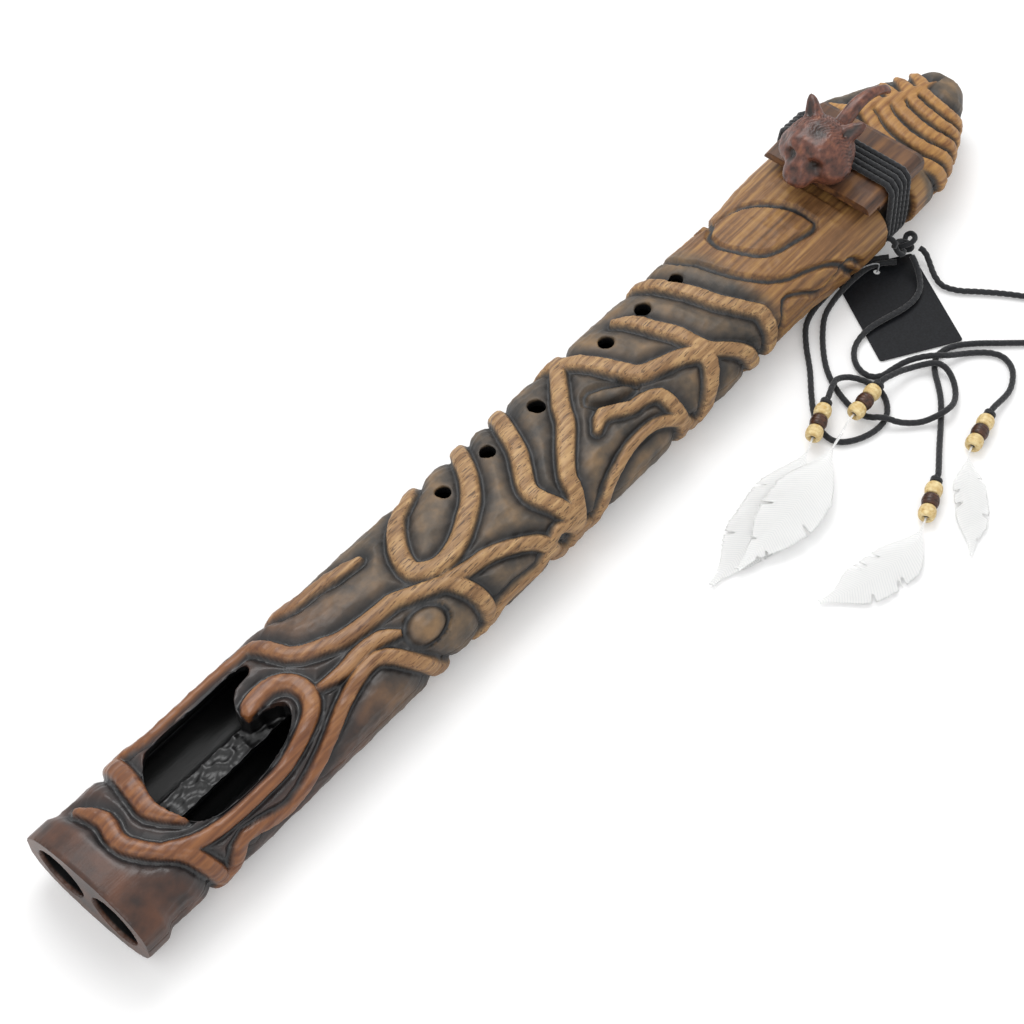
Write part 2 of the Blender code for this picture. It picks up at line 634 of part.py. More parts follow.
def make_tails(cord, pale, dark, white):
    bore = CORD_DIAMETER / 2 + BEAD_BORE_CLEARANCE
    for number, tail in enumerate(TAILS, 1):
        add_tube("cord_" + tail["name"], tail_line(tail), CORD_DIAMETER, cord)
        start, along, places = bead_line(tail)
        half = TAIL_KNOT_LENGTH / 2
        turned("tail_knot_%d" % number, start, along,
               [(0.0, 0.8 * TAIL_KNOT_RADIUS), (0.4 * half, TAIL_KNOT_RADIUS), (half, 0.93 * TAIL_KNOT_RADIUS),
                (1.6 * half, TAIL_KNOT_RADIUS), (2 * half, 0.8 * TAIL_KNOT_RADIUS)], bore, cord, 12)
        for k, place in enumerate(places):
            wood = dark if k % 2 else pale
            turned("bead_%d_%d" % (number, k + 1), start + along * place, along, bead_profile(), bore, wood, 12)
        make_feather(tail, number, white)


# Hang card

CARD_CORNER = Vector((150.0, -76.0, 0.0)) * MM
CARD_ANGLE = math.radians(-31.5)


def make_card(material, string_material):
    width, height, thickness = CARD_SIZE
    across = Vector((math.cos(CARD_ANGLE), math.sin(CARD_ANGLE), 0))
    up = Vector((-across.y, across.x, 0))
    bm = bmesh.new()
    outline = []
    corner = 0.0015
    for x, y, first in ((corner, corner, 180), (width - corner, corner, 270),
                        (width - corner, height - corner, 0), (corner, height - corner, 90)):
        for k in range(4):
            angle = math.radians(first + 30 * k)
            point = CARD_CORNER + across * (x + corner * math.cos(angle)) + up * (y + corner * math.sin(angle))
            outline.append(point)
    bottom = [point + Vector((0, 0, CARD_LIFT)) for point in outline]
    top = [point + Vector((0, 0, CARD_LIFT + thickness)) for point in outline]
    bm.free()
    card = add_object("hang_card", loft([bottom, top]), material)
    hole = CARD_CORNER + across * (width / 2) + up * (height - 0.0065)
    punch = bmesh.new()
    add_rod(punch, hole - Vector((0, 0, 0.001)), hole + Vector((0, 0, 0.003)), CARD_HOLE_RADIUS, 16)
    cut(card, "card_punch", punch)
    middle = hole + Vector((0, 0, STRING_DIAMETER / 2 + CARD_LIFT))
    route = [middle, middle + Vector((0, -0.0006, 0.0030)), Vector((199.6, -39.8, 6.2)) * MM,
             Vector((197.0, -38.0, 7.2)) * MM, Vector((193.0, -36.0, 7.3)) * MM, Vector((188.0, -34.0, 7.1)) * MM]
    add_tube("card_string", resample(catmull(route, 5), 0.0024), STRING_DIAMETER, string_material)


def main():
    for obj in list(bpy.data.objects):
        bpy.data.objects.remove(obj, do_unlink=True)

    carved_wood = make_material("carved_wood", (0.17, 0.11, 0.06), 0.5)
    plank_wood = make_material("plank_wood", (0.20, 0.12, 0.07), 0.55)
    head_wood = make_material("head_wood", (0.14, 0.065, 0.045), 0.4)
    cord = make_material("black_cord", (0.012, 0.012, 0.014), 0.9)
    pale_bead = make_material("pale_bead_wood", (0.74, 0.60, 0.32), 0.45)
    dark_bead = make_material("dark_bead_wood", (0.045, 0.02, 0.014), 0.35)
    feather = make_material("feather_white", (0.88, 0.88, 0.86), 0.8)
    card = make_material("black_card", (0.012, 0.013, 0.016), 0.45)
    string = make_material("clear_string", (0.75, 0.76, 0.78), 0.25)

    make_body(carved_wood)

    block_slide = bpy.data.objects.new("block_slide_axis", None)
    bpy.context.scene.collection.objects.link(block_slide)
    make_plank(plank_wood, block_slide)
    make_cat_head(head_wood, block_slide)

    make_winding(cord)
    make_tails(cord, pale_bead, dark_bead, feather)
    make_card(card, string)


main()
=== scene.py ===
# %% [markdown]
# # A carved double flute with its tied block, beads and feathers
# The lesson dresses a model. The frame holds plain solids whose places are right, and each cell
# below either gives one of them a finish or puts a more detailed piece in its place. The frame is
# loaded first, because every later piece takes its place from it.

# %% Load the frame
import math

import bmesh
import bpy
import numpy as np
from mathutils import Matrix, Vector


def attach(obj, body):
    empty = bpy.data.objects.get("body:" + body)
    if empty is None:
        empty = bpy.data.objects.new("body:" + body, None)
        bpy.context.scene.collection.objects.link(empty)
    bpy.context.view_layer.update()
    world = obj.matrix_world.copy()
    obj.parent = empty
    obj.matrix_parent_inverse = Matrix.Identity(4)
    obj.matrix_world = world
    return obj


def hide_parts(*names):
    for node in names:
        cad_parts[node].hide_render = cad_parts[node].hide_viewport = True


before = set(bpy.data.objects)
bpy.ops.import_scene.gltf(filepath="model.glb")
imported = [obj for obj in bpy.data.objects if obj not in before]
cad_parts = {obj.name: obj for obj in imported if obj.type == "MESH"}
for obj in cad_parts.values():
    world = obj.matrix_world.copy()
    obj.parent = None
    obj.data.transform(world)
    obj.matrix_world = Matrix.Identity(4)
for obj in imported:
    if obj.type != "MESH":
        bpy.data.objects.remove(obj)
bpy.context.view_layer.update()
MM = 0.001
FOOT_X = -0.315

# %% [markdown]
# ## The camera
# The photograph looks down on the flute from beyond its foot, over the cord side. A camera could be
# placed by eye, but the two bores and the six finger holes are known circles on a known line, so
# its place was worked out from them. The numbers here are that answer, and the lens is a short
# telephoto.

# %% Camera
camera_data = bpy.data.cameras.new("photo_camera")
camera_data.sensor_width = 36.0
camera_data.lens = 70.60
camera = bpy.data.objects.new("photo_camera", camera_data)
camera.location = (-0.46634, -0.36026, 0.78499)
camera.rotation_euler = (math.radians(35.469), 0.0, math.radians(-49.285))
bpy.context.scene.collection.objects.link(camera)
bpy.context.scene.camera = camera
print("lens in mm:", camera_data.lens)

# %% [markdown]
# ## Lines and tubes
# Cords, quills and the carved horn all follow a line. A curve with a bevel would give an even tube.
# A braided cord has bumps, so the tube is built ring by ring here, and each ring may swell as it
# likes.

# %% Smooth lines


def smooth_line(points, steps=6):
    """A smooth line through the given points."""
    points = np.array(points, float)
    padded = np.vstack((points[:1], points, points[-1:]))
    share = np.arange(steps)[:, None] / steps
    spans = []
    for a, b, c, d in zip(padded, padded[1:], padded[2:], padded[3:]):
        spans.append(0.5 * (2 * b + (c - a) * share + (2 * a - 5 * b + 4 * c - d) * share ** 2
                            + (3 * b - a - 3 * c + d) * share ** 3))
    return np.vstack(spans + [points[-1:]])


def reach_along(line):
    steps = np.linalg.norm(np.diff(line, axis=0), axis=1)
    return np.concatenate(([0.0], np.cumsum(steps)))


def evenly(line, spacing):
    """The same line with its points an even distance apart."""
    reach = reach_along(line)
    marks = np.linspace(0.0, reach[-1], max(2, int(round(reach[-1] / spacing))) + 1)
    return np.column_stack([np.interp(marks, reach, line[:, axis]) for axis in range(3)])


def smooth(value):
    value = np.clip(value, 0.0, 1.0)
    return value * value * (3 - 2 * value)


# %% Tubes


def mesh_piece(name, verts, faces, material):
    mesh = bpy.data.meshes.new(name)
    mesh.from_pydata([tuple(vert) for vert in verts], [], faces)
    mesh.materials.append(material)
    mesh.shade_smooth()
    piece = bpy.data.objects.new(name, mesh)
    bpy.context.scene.collection.objects.link(piece)
    return piece


def ring_frames(line):
    """Two directions across the line at each point, carried along it without twist."""
    along = np.gradient(line, axis=0)
    along /= np.linalg.norm(along, axis=1)[:, None]
    guide = np.array((0.0, 0.0, 1.0)) if abs(along[0][2]) < 0.9 else np.array((1.0, 0.0, 0.0))
    sides = []
    for direction in along:
        guide = guide - direction * guide.dot(direction)
        guide /= np.linalg.norm(guide)
        sides.append(guide)
    sides = np.array(sides)
    return sides, np.cross(along, sides)


def tube_shape(line, radius_at, segments=16):
    """Points and faces of a closed tube. radius_at takes distance along and angle around."""
    side, other = ring_frames(line)
    reach = reach_along(line)
    angle = 2 * np.pi * np.arange(segments) / segments
    radius = radius_at(reach[:, None], angle[None, :]) * np.ones((len(line), segments))
    outward = np.cos(angle)[None, :, None] * side[:, None, :]
    outward = outward + np.sin(angle)[None, :, None] * other[:, None, :]
    verts = line[:, None, :] + radius[..., None] * outward
    faces = []
    for row in range(len(line) - 1):
        for k in range(segments):
            low, high = row * segments, (row + 1) * segments
            after = (k + 1) % segments
            faces.append((low + k, low + after, high + after, high + k))
    last = (len(line) - 1) * segments
    faces.append(tuple(reversed(range(segments))))
    faces.append(tuple(last + k for k in range(segments)))
    return verts.reshape(-1, 3), faces


# %% [markdown]
# ## A bench for finishes
# Every finish is a small net of shader nodes. Writing each node out by hand is long and hard to
# read, so this bench adds the few kinds that are used here: noise, stretched grain, mixes, ramps
# and bump.

# %% Finish bench


def tone(code):
    """A colour as it is read off a screen, turned into the light values that a shader takes."""
    parts = [int(code[k:k + 2], 16) / 255 for k in (0, 2, 4)]
    return tuple(p / 12.92 if p <= 0.04045 else ((p + 0.055) / 1.055) ** 2.4 for p in parts) + (1.0,)


class Finish:
    """One material, with short ways to add nodes to it. Places are metres on the object."""

    def __init__(self, name, roughness):
        self.material = bpy.data.materials.new(name)
        self.material.use_nodes = True
        self.nodes = self.material.node_tree.nodes
        self.links = self.material.node_tree.links
        self.shader = self.nodes["Principled BSDF"]
        self.shader.inputs["Roughness"].default_value = roughness
        self.place = self.nodes.new("ShaderNodeTexCoord").outputs["Object"]

    def noise(self, scale, stretch=(1, 1, 1), detail=3.0):
        mapping = self.nodes.new("ShaderNodeMapping")
        mapping.inputs["Scale"].default_value = stretch
        self.links.new(self.place, mapping.inputs["Vector"])
        texture = self.nodes.new("ShaderNodeTexNoise")
        texture.inputs["Scale"].default_value = scale
        texture.inputs["Detail"].default_value = detail
        self.links.new(mapping.outputs["Vector"], texture.inputs["Vector"])
        return texture.outputs["Fac"]

    def field(self, name):
        node = self.nodes.new("ShaderNodeAttribute")
        node.attribute_name = name
        return node.outputs["Fac"]

    def steps(self, value, *stops):
        """A ramp: each stop is a place from 0 to 1 and a colour code or a grey level."""
        node = self.nodes.new("ShaderNodeValToRGB")
        ramp = node.color_ramp
        while len(ramp.elements) < len(stops):
            ramp.elements.new(0.5)
        for element, (place, colour) in zip(ramp.elements, stops):
            element.position = place
            element.color = tone(colour) if isinstance(colour, str) else (colour, colour, colour, 1.0)
        self.links.new(value, node.inputs["Fac"])
        return node.outputs["Color"]

    def mix(self, share, first, second):
        node = self.nodes.new("ShaderNodeMix")
        node.data_type = "RGBA"
        for socket, value in ((0, share), (6, first), (7, second)):
            if isinstance(value, str):
                node.inputs[socket].default_value = tone(value)
            elif isinstance(value, float):
                node.inputs[socket].default_value = value
            else:
                self.links.new(value, node.inputs[socket])
        return node.outputs[2]

    def colour(self, value):
        self.links.new(value, self.shader.inputs["Base Color"])

    def roughness(self, value, smallest, largest):
        span = self.nodes.new("ShaderNodeMapRange")
        span.inputs["To Min"].default_value = smallest
        span.inputs["To Max"].default_value = largest
        self.links.new(value, span.inputs["Value"])
        self.links.new(span.outputs["Result"], self.shader.inputs["Roughness"])

    def relief(self, value, strength, distance):
        bump = self.nodes.new("ShaderNodeBump")
        bump.inputs["Strength"].default_value = strength
        bump.inputs["Distance"].default_value = distance
        self.links.new(value, bump.inputs["Height"])
        self.links.new(bump.outputs["Normal"], self.shader.inputs["Normal"])


# %% [markdown]
# ## Braided black cord
# The cord on the real flute is a soft round braid of black yarn. A plain tube with a pattern
# painted on it looks flat where it crosses itself. Here two sets of bumps wind round it in opposite
# directions, as the yarns of a braid do, and the finish adds only the fine fibres.

# %% Cord finish and braid
CORD_DIAMETER = 0.0032
YARNS = 3
YARN_PITCH = 1.15
BRAID_DEPTH = 0.10
BRAID_STEP = 0.0006
cord_finish = Finish("braided_yarn", 0.85)
fibres = cord_finish.noise(2600.0, (1, 1, 1), 2.0)
cord_finish.colour(cord_finish.steps(fibres, (0.3, "08090b"), (0.75, "23252a")))
cord_finish.relief(fibres, 0.5, 0.0002)
cord_finish.shader.inputs["Sheen Weight"].default_value = 0.25


def braid_radius(diameter):
    """How far out the braid's skin is: yarns wind both ways, and the higher one shows."""
    turn_length = YARNS * YARN_PITCH * diameter

    def radius(along, around):
        turn = 2 * np.pi * along / turn_length
        bumps = np.maximum(np.sin(YARNS * (around + turn)), np.sin(YARNS * (around - turn)))
        return diameter / 2 * (1 - BRAID_DEPTH + BRAID_DEPTH * bumps)
    return radius


def braided(name, line, diameter=CORD_DIAMETER):
    verts, faces = tube_shape(evenly(line, BRAID_STEP), braid_radius(diameter))
    piece = mesh_piece(name, verts, faces, cord_finish.material)
    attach(piece, "flute")
    return piece


# %% [markdown]
# ## The four loose tails
# Four ends leave the knot of the winding, wander over the table and each ends in a knot, three
# beads and a feather. A rope simulation would drop them somewhere else, so their routes are read
# from the photograph and laid on the table, with a low hump where one passes over another.
# The longest runs out of the picture on the right and comes back into it.

# %% Tail routes, in millimetres
TAILS = (
    {"route": (
        (221, -50.5, 8.6), (221.5, -54, 7.0), (219, -59, 4.4), (214.5, -65, 3.4), (212, -72, 2.4),
        (215, -80, 1.9), (221, -88, 1.8), (228, -98, 1.8), (234, -108, 1.8), (240, -119, 1.8),
        (241, -130, 1.8), (234, -139, 1.8), (223, -140, 1.8), (214, -133, 1.8), (207, -125, 1.8),
        (199, -116, 1.8), (191, -107, 1.8), (183, -100, 1.8), (175, -96.5, 1.8), (168, -97, 1.7),
        (161, -101.5, 1.8), (155.5, -107, 1.8), (149.5, -112.5, 1.8), (142.5, -117.5, 1.8),
        (133, -123.5, 1.8), (122, -130, 2.4),),
     "beads": ((104.5, -140.0, 4.6), (80.7, -149.3, 4.6)),
     "feather": (
        (75, -151, 4.2), (68, -152.5, 3.4), (58, -153, 2.6), (46, -151.5, 2.2), (34, -148.5, 2.0),
        (22, -144, 1.8), (11, -138, 1.6),),
     "vane": 11.5, "vane_start": 0.07},
    {"route": (
        (214, -50.3, 8.2), (212.5, -54, 6.4), (208.5, -59.5, 4.0), (202, -64.5, 3.2),
        (194, -66.5, 3.0), (184, -65.5, 3.0), (173, -62.5, 3.0), (162, -60, 2.8), (151, -60.5, 2.0),
        (143, -64.5, 1.8), (138, -71, 1.8), (137.5, -78, 1.8), (142, -82.5, 1.8), (149, -84.2, 2.0),
        (156.5, -87, 3.2), (163, -92, 4.8), (168, -97.2, 5.6), (173, -101.5, 4.4),
        (179, -104.8, 2.5), (185, -109.5, 1.8), (190, -115.5, 1.8), (192, -122, 1.8),
        (189, -129, 1.8), (182, -134, 1.8), (173, -136.8, 2.4),),
     "beads": ((156.0, -137.5, 4.6), (130.6, -142.5, 4.6)),
     "feather": (
        (126, -144.0, 4.0), (120, -148, 3.2), (112, -154, 2.4), (102, -162, 2.0), (91, -169.5, 1.8),
        (79, -176.5, 1.6),),
     "vane": 8.0, "vane_start": 0.07},
    {"route": (
        (208.2, -40.5, 5.0), (203.5, -35.5, 3.8), (197, -31.8, 2.9), (188, -30.8, 2.7),
        (178, -30.2, 2.4), (166, -30.0, 1.8), (155, -30.8, 1.8), (144, -34.0, 1.8), (133, -42, 1.8),
        (121, -53, 1.8), (109, -62.5, 1.8), (99, -71.5, 1.8), (93, -80.5, 1.8), (92.5, -89, 1.8),
        (99, -95.5, 1.8), (109, -99.5, 1.8), (119, -99.8, 1.7), (127.5, -95.5, 1.8),
        (133, -88, 1.8), (133.4, -79.5, 2.0), (129.5, -72.0, 3.6), (123.0, -68.4, 5.8),
        (117.0, -69.2, 7.5),),
     "beads": ((106.5, -73.0, 8.4), (82.0, -81.5, 7.6)),
     "feather": (
        (78, -83.0, 7.2), (70, -84.8, 6.0), (58, -86.5, 4.2), (42, -89, 2.8), (25, -91.5, 2.0),
        (6, -93.5, 1.6), (-14, -94, 1.4),),
     "vane": 13.5, "vane_start": 0.07},
    {"route": (
        (208.0, -45.5, 5.0), (202.5, -39.2, 3.9), (196, -35.6, 3.0), (187, -34.6, 2.9),
        (177, -34.4, 2.7), (167, -35.0, 2.2), (156, -37.4, 1.8), (146, -43.0, 1.8),
        (136, -50.5, 1.8), (128, -58, 1.8), (122, -66, 1.8), (117.5, -75, 1.8), (115, -84, 1.7),
        (115, -92, 2.3), (117.5, -99.6, 5.5), (122, -107, 3.4), (129, -114.0, 2.6),
        (136, -118.5, 4.4), (142, -120.6, 5.6), (149, -120.2, 3.8), (156, -117.0, 2.4),
        (162, -111.5, 2.8), (165, -105, 4.4), (163.5, -99.6, 5.6), (158.5, -94.6, 4.6),
        (152, -91, 4.8), (146, -89.2, 6.6),),
     "beads": ((132.0, -87.0, 9.0), (106.0, -88.5, 8.8)),
     "feather": (
        (101.5, -89.0, 8.8), (94, -90.5, 8.7), (82, -93, 8.6), (66, -96, 8.2), (46, -98.5, 7.2),
        (24, -100, 6.0), (-1, -99, 4.8),),
     "vane": 14.5, "vane_start": 0.2},
)
BEAD_RADIUS = 0.0044
BEAD_LENGTH = 0.0068
BEAD_GAP = 0.0003
TAIL_KNOT_LENGTH = 0.0042

# %% Lay the tails


def bead_axis(tail):
    """Start and direction of the beads' straight axis, and each bead's place on it."""
    start, end = (np.array(point) * MM for point in tail["beads"])
    along = (end - start) / np.linalg.norm(end - start)
    places = [TAIL_KNOT_LENGTH + BEAD_GAP + k * (BEAD_LENGTH + BEAD_GAP) for k in range(3)]
    return start, along, places


def tail_line(tail):
    start, along, places = bead_axis(tail)
    route = [np.array(point) * MM for point in tail["route"]]
    inner = start + along * 0.004
    end = start + along * (places[-1] + BEAD_LENGTH - 0.0015)
    line = np.vstack((smooth_line(route + [start - along * 0.003]), inner, end))
    return evenly(line, 0.0024)


tail_pieces = []
for number, tail in enumerate(TAILS, 1):
    line = tail_line(tail)
    piece = braided("braided_tail_%d" % number, line)
    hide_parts("cord_tail_%d" % number)
    tail_pieces.append((piece, line))
    print("tail", number, "length in mm:", round(reach_along(line)[-1] * 1000))

# %% [markdown]
# ## Knots, beads and feathers
# Above its beads each tail has a knot. A ball would do from afar, but close up a knot shows its
# turns, so it is a short helix of the same braid, pulled tight round the cord. The beads are turned
# wood with two cut rings, so each is one outline turned round its bore.

# %% Tail knots
KNOT_YARN = 0.0021
KNOT_TURNS = 2.3


def sides_of(start, along):
    """Two directions across a straight axis."""
    side, other = ring_frames(np.array((start, start + along)))
    return side[0], other[0]


def tail_knot(number, tail):
    start, along, _ = bead_axis(tail)
    side, other = sides_of(start, along)
    turn = np.linspace(0, 2 * np.pi * KNOT_TURNS, 60)[:, None]
    rise = np.linspace(0.0011, TAIL_KNOT_LENGTH - 0.0011, 60)[:, None]
    coil = start + along * rise + KNOT_YARN * (np.cos(turn) * side + np.sin(turn) * other)
    piece = braided("knot_above_beads_%d" % number, coil, KNOT_YARN)
    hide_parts("tail_knot_%d" % number)
    return piece


# %% Bead finishes and beads
BEAD_RINGS = (0.34, 0.70)
BEAD_RING_DEPTH = 0.00055
BEAD_SEGMENTS = 36


def bead_finish(name, dark, light, roughness):
    finish = Finish(name, roughness)
    rings = finish.noise(320.0, (1, 1, 3), 4.0)
    finish.colour(finish.steps(rings, (0.3, dark), (0.7, light)))
    finish.relief(rings, 0.25, 0.0002)
    return finish.material


PALE_BEAD = bead_finish("pale_bead_wood", "c9a765", "ecd9a6", 0.42)
DARK_BEAD = bead_finish("dark_bead_wood", "23120b", "54301c", 0.32)


def bead(name, start, along, material):
    side, other = sides_of(start, along)
    share = np.linspace(0, 1, 25)
    radius = BEAD_RADIUS * (0.70 + 0.30 * np.sin(np.pi * share) ** 0.45)
    for ring in BEAD_RINGS:
        radius = radius - BEAD_RING_DEPTH * np.exp(-((share - ring) / 0.035) ** 2)
    bore = CORD_DIAMETER / 2 + 0.0003
    outline = list(zip(share * BEAD_LENGTH, radius)) + [(BEAD_LENGTH, bore), (0.0, bore)]
    verts, faces, count = [], [], len(outline)
    for k in range(BEAD_SEGMENTS):
        angle = 2 * np.pi * k / BEAD_SEGMENTS
        outward = math.cos(angle) * side + math.sin(angle) * other
        for rise, out in outline:
            verts.append(start + along * rise + out * outward)
        for i in range(count):
            here, after = k * count, (k + 1) % BEAD_SEGMENTS * count
            j = (i + 1) % count
            faces.append((here + i, after + i, after + j, here + j))
    piece = mesh_piece(name, verts, faces, material)
    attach(piece, "flute")
    return piece


# %% [markdown]
# The feathers are small white plumes, so thin that the table shows through. Single hairs would give
# thousands of loose strips. Instead each vane is one thin sheet whose barbs sweep towards the tip:
# its edge is frayed, it is split in a few places, and a finish with fine lines follows the barbs.

# %% Feather finish and feathers
feather_finish = Finish("white_plume", 0.7)
barbs = feather_finish.nodes.new("ShaderNodeTexWave")
barbs.inputs["Scale"].default_value = 230.0
barbs.inputs["Distortion"].default_value = 2.0
barb_place = feather_finish.nodes.new("ShaderNodeUVMap")
feather_finish.links.new(barb_place.outputs["UV"], barbs.inputs["Vector"])
feather_finish.colour(feather_finish.steps(barbs.outputs["Fac"], (0.0, "eeefef"), (0.6, "fafaf9")))
feather_finish.relief(barbs.outputs["Fac"], 0.15, 0.0002)
feather_finish.shader.inputs["Transmission Weight"].default_value = 0.35
feather_finish.shader.inputs["IOR"].default_value = 1.15


QUILL_STEP = 0.0008
ROWS_ACROSS = 23
BARB_SWEEP = 0.55
FRAY = 0.022
SPLITS_A_SIDE = 3
PLUME_THICKNESS = 0.00025


def frayed_edge(chance, count):
    """How far out the edge reaches at each point along it, with a few splits."""
    fray = 1 + FRAY * chance.standard_normal(count)
    for split in chance.integers(count // 4, count - 4, SPLITS_A_SIDE):
        fray[split:split + 2] *= 0.62
    return fray


def feather(number, tail):
    start, along, places = bead_axis(tail)
    end = places[-1] + BEAD_LENGTH
    quill = [start + along * (end - 0.0010), start + along * (end + 0.0012)]
    quill += [np.array(point) * MM for point in tail["feather"]]
    quill = evenly(smooth_line(quill), QUILL_STEP)
    chance = np.random.default_rng(40 + number)
    reach = reach_along(quill)
    share = reach / reach[-1]
    ahead = np.gradient(quill, axis=0)
    ahead /= np.linalg.norm(ahead, axis=1)[:, None]
    across = np.column_stack((-ahead[:, 1], ahead[:, 0], np.zeros(len(quill))))
    widening = smooth((share - tail["vane_start"]) / 0.25)
    narrowing = 1 - 0.9 * smooth((share - 0.55) / 0.45)
    vane = tail["vane"] * MM * widening * narrowing
    frays = {side: frayed_edge(chance, len(quill)) for side in (-1, 1)}
    verts, marks = [], []
    for place in np.linspace(-1, 1, ROWS_ACROSS):
        fray = 1 + (frays[1 if place > 0 else -1] - 1) * abs(place) ** 3
        out = np.maximum(vane * fray, 0.0005) * place
        sweep = BARB_SWEEP * np.abs(out)
        ripple = 0.0004 * abs(place) * np.sin(reach / 0.004 + 3 * place)
        lift = 0.10 * vane * (1 - place * place) + ripple
        row = quill + across * out[:, None] + ahead * sweep[:, None]
        row[:, 2] += np.maximum(lift, 0.0)
        verts.append(row)
        marks.append(np.column_stack((reach, np.full(len(quill), abs(place) * 0.01))))
    count = len(quill)
    faces = [(r * count + k, r * count + k + 1, (r + 1) * count + k + 1, (r + 1) * count + k)
             for r in range(ROWS_ACROSS - 1) for k in range(count - 1)]
    piece = mesh_piece("plume_%d" % number, np.vstack(verts), faces, feather_finish.material)
    uv = piece.data.uv_layers.new(name="barbs").data
    flat = np.vstack(marks)
    corners = np.array([loop.vertex_index for loop in piece.data.loops])
    uv.foreach_set("uv", flat[corners].ravel())
    shell = piece.modifiers.new("thickness", "SOLIDIFY")
    shell.thickness = PLUME_THICKNESS
    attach(piece, "flute")
    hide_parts("feather_%d" % number)


# %% [markdown]
# Each tail is now dressed in the order in which its pieces are threaded: knot, pale bead, dark
# bead, pale bead, and last the feather, whose quill sticks in the end bead.

# %% Dress the tails
for number, tail in enumerate(TAILS, 1):
    start, along, places = bead_axis(tail)
    on_tail = [tail_knot(number, tail)]
    for k, place in enumerate(places, 1):
        material, slot = (DARK_BEAD, "bead_dark") if k == 2 else (PALE_BEAD, "bead_pale")
        one = bead("turned_bead_%d_%d" % (number, k), start + along * place, along, material)
        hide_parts("bead_%d_%d" % (number, k))
        on_tail.append(one)
    feather(number, tail)
    piece, line = tail_pieces[number - 1]
    print("tail", number, "carries:", [one.name for one in on_tail])

# %% [markdown]
# ## The winding and its knot
# The block is held by turns of the same cord round the body. Separate rings would be simpler, but
# on the real flute it is one cord, so this is one helix. It follows the tight outline of a string
# pulled round the body and the plank, five turns side by side, with its end going down into the
# knot.

# %% Winding
MID_HEIGHT = 0.021
SEAT_HALF_WIDTH = 0.0348
SEAT_BELOW = 0.0171
PLANK_CORNER = (0.0285, 0.0448)
PLANK_ROUND = 0.0045
WINDING_X = 0.2075
WINDING_PITCH = 0.0037
WINDING_TURNS = 5
LOOP_POINTS = 24
KNOT_CENTRE = np.array((0.21675, -0.0436, 0.0095))


def string_outline():
    """Middle of a tight cord round the seat and the plank, and how far round each point is."""
    solid = []
    for angle in 2 * np.pi * np.arange(72) / 72:
        c, s = math.cos(angle), math.sin(angle)
        rise = MID_HEIGHT if s > 0 else SEAT_BELOW
        solid.append((SEAT_HALF_WIDTH * math.copysign(abs(c) ** 0.8, c),
                      MID_HEIGHT + rise * math.copysign(abs(s) ** 0.8, s)))
    for angle in np.pi / 2 * np.arange(9) / 8:
        for side in (1, -1):
            solid.append((side * (PLANK_CORNER[0] + PLANK_ROUND * math.cos(angle)),
                          PLANK_CORNER[1] + PLANK_ROUND * math.sin(angle)))
    solid = np.array(solid)
    share = np.linspace(0, 1, 1441)
    outward = np.column_stack((np.cos(-2 * np.pi * share), np.sin(-2 * np.pi * share)))
    line = solid[np.argmax(outward @ solid.T, axis=1)] + (CORD_DIAMETER / 2 + 0.0005) * outward
    reach = reach_along(line)
    return line, 0.4 * reach / reach[-1] + 0.6 * share


def winding_line():
    line, measure = string_outline()
    cord_side = int(np.argmin(line[:, 0] + 0.02 * np.abs(line[:, 1] - MID_HEIGHT)))
    share = np.arange(WINDING_TURNS * LOOP_POINTS - 4) / LOOP_POINTS
    where = (measure[cord_side] + share) % 1.0
    turns = np.column_stack((WINDING_X + share * WINDING_PITCH, np.interp(where, measure, line[:, 0]),
                             np.interp(where, measure, line[:, 1])))
    down = [(turns[0][0], KNOT_CENTRE[1] + 0.0012, KNOT_CENTRE[2] + 0.0052),
            (turns[0][0], KNOT_CENTRE[1] + 0.0012, KNOT_CENTRE[2] + 0.0084),
            turns[0] + (0.0, -0.0014, -0.0022)]
    return smooth_line(np.vstack((down, turns)), 4)


wound_line = winding_line()
winding = braided("braided_winding", wound_line)
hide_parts("cord_winding")
print("winding length in mm:", round(reach_along(wound_line)[-1] * 1000))

# %% [markdown]
# The knot at the side is an overhand knot, pulled flat. Its line is a loop that goes round twice
# and passes over and under itself three times, which one sine for each direction can write down.

# %% Winding knot
turn = np.linspace(0, 2 * np.pi, 120)[:-4]
knot_line = np.column_stack((0.0087 * (np.sin(turn) + 1.6 * np.sin(2 * turn)) / 2.6,
                             0.0030 * np.sin(3 * turn),
                             0.0040 * (np.cos(turn) - 1.6 * np.cos(2 * turn)) / 2.6)) + KNOT_CENTRE
winding_knot = braided("knotted_cord", knot_line, 0.0030)
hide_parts("winding_knot")
print("knot's cord in mm:", round(reach_along(knot_line)[-1] * 1000))
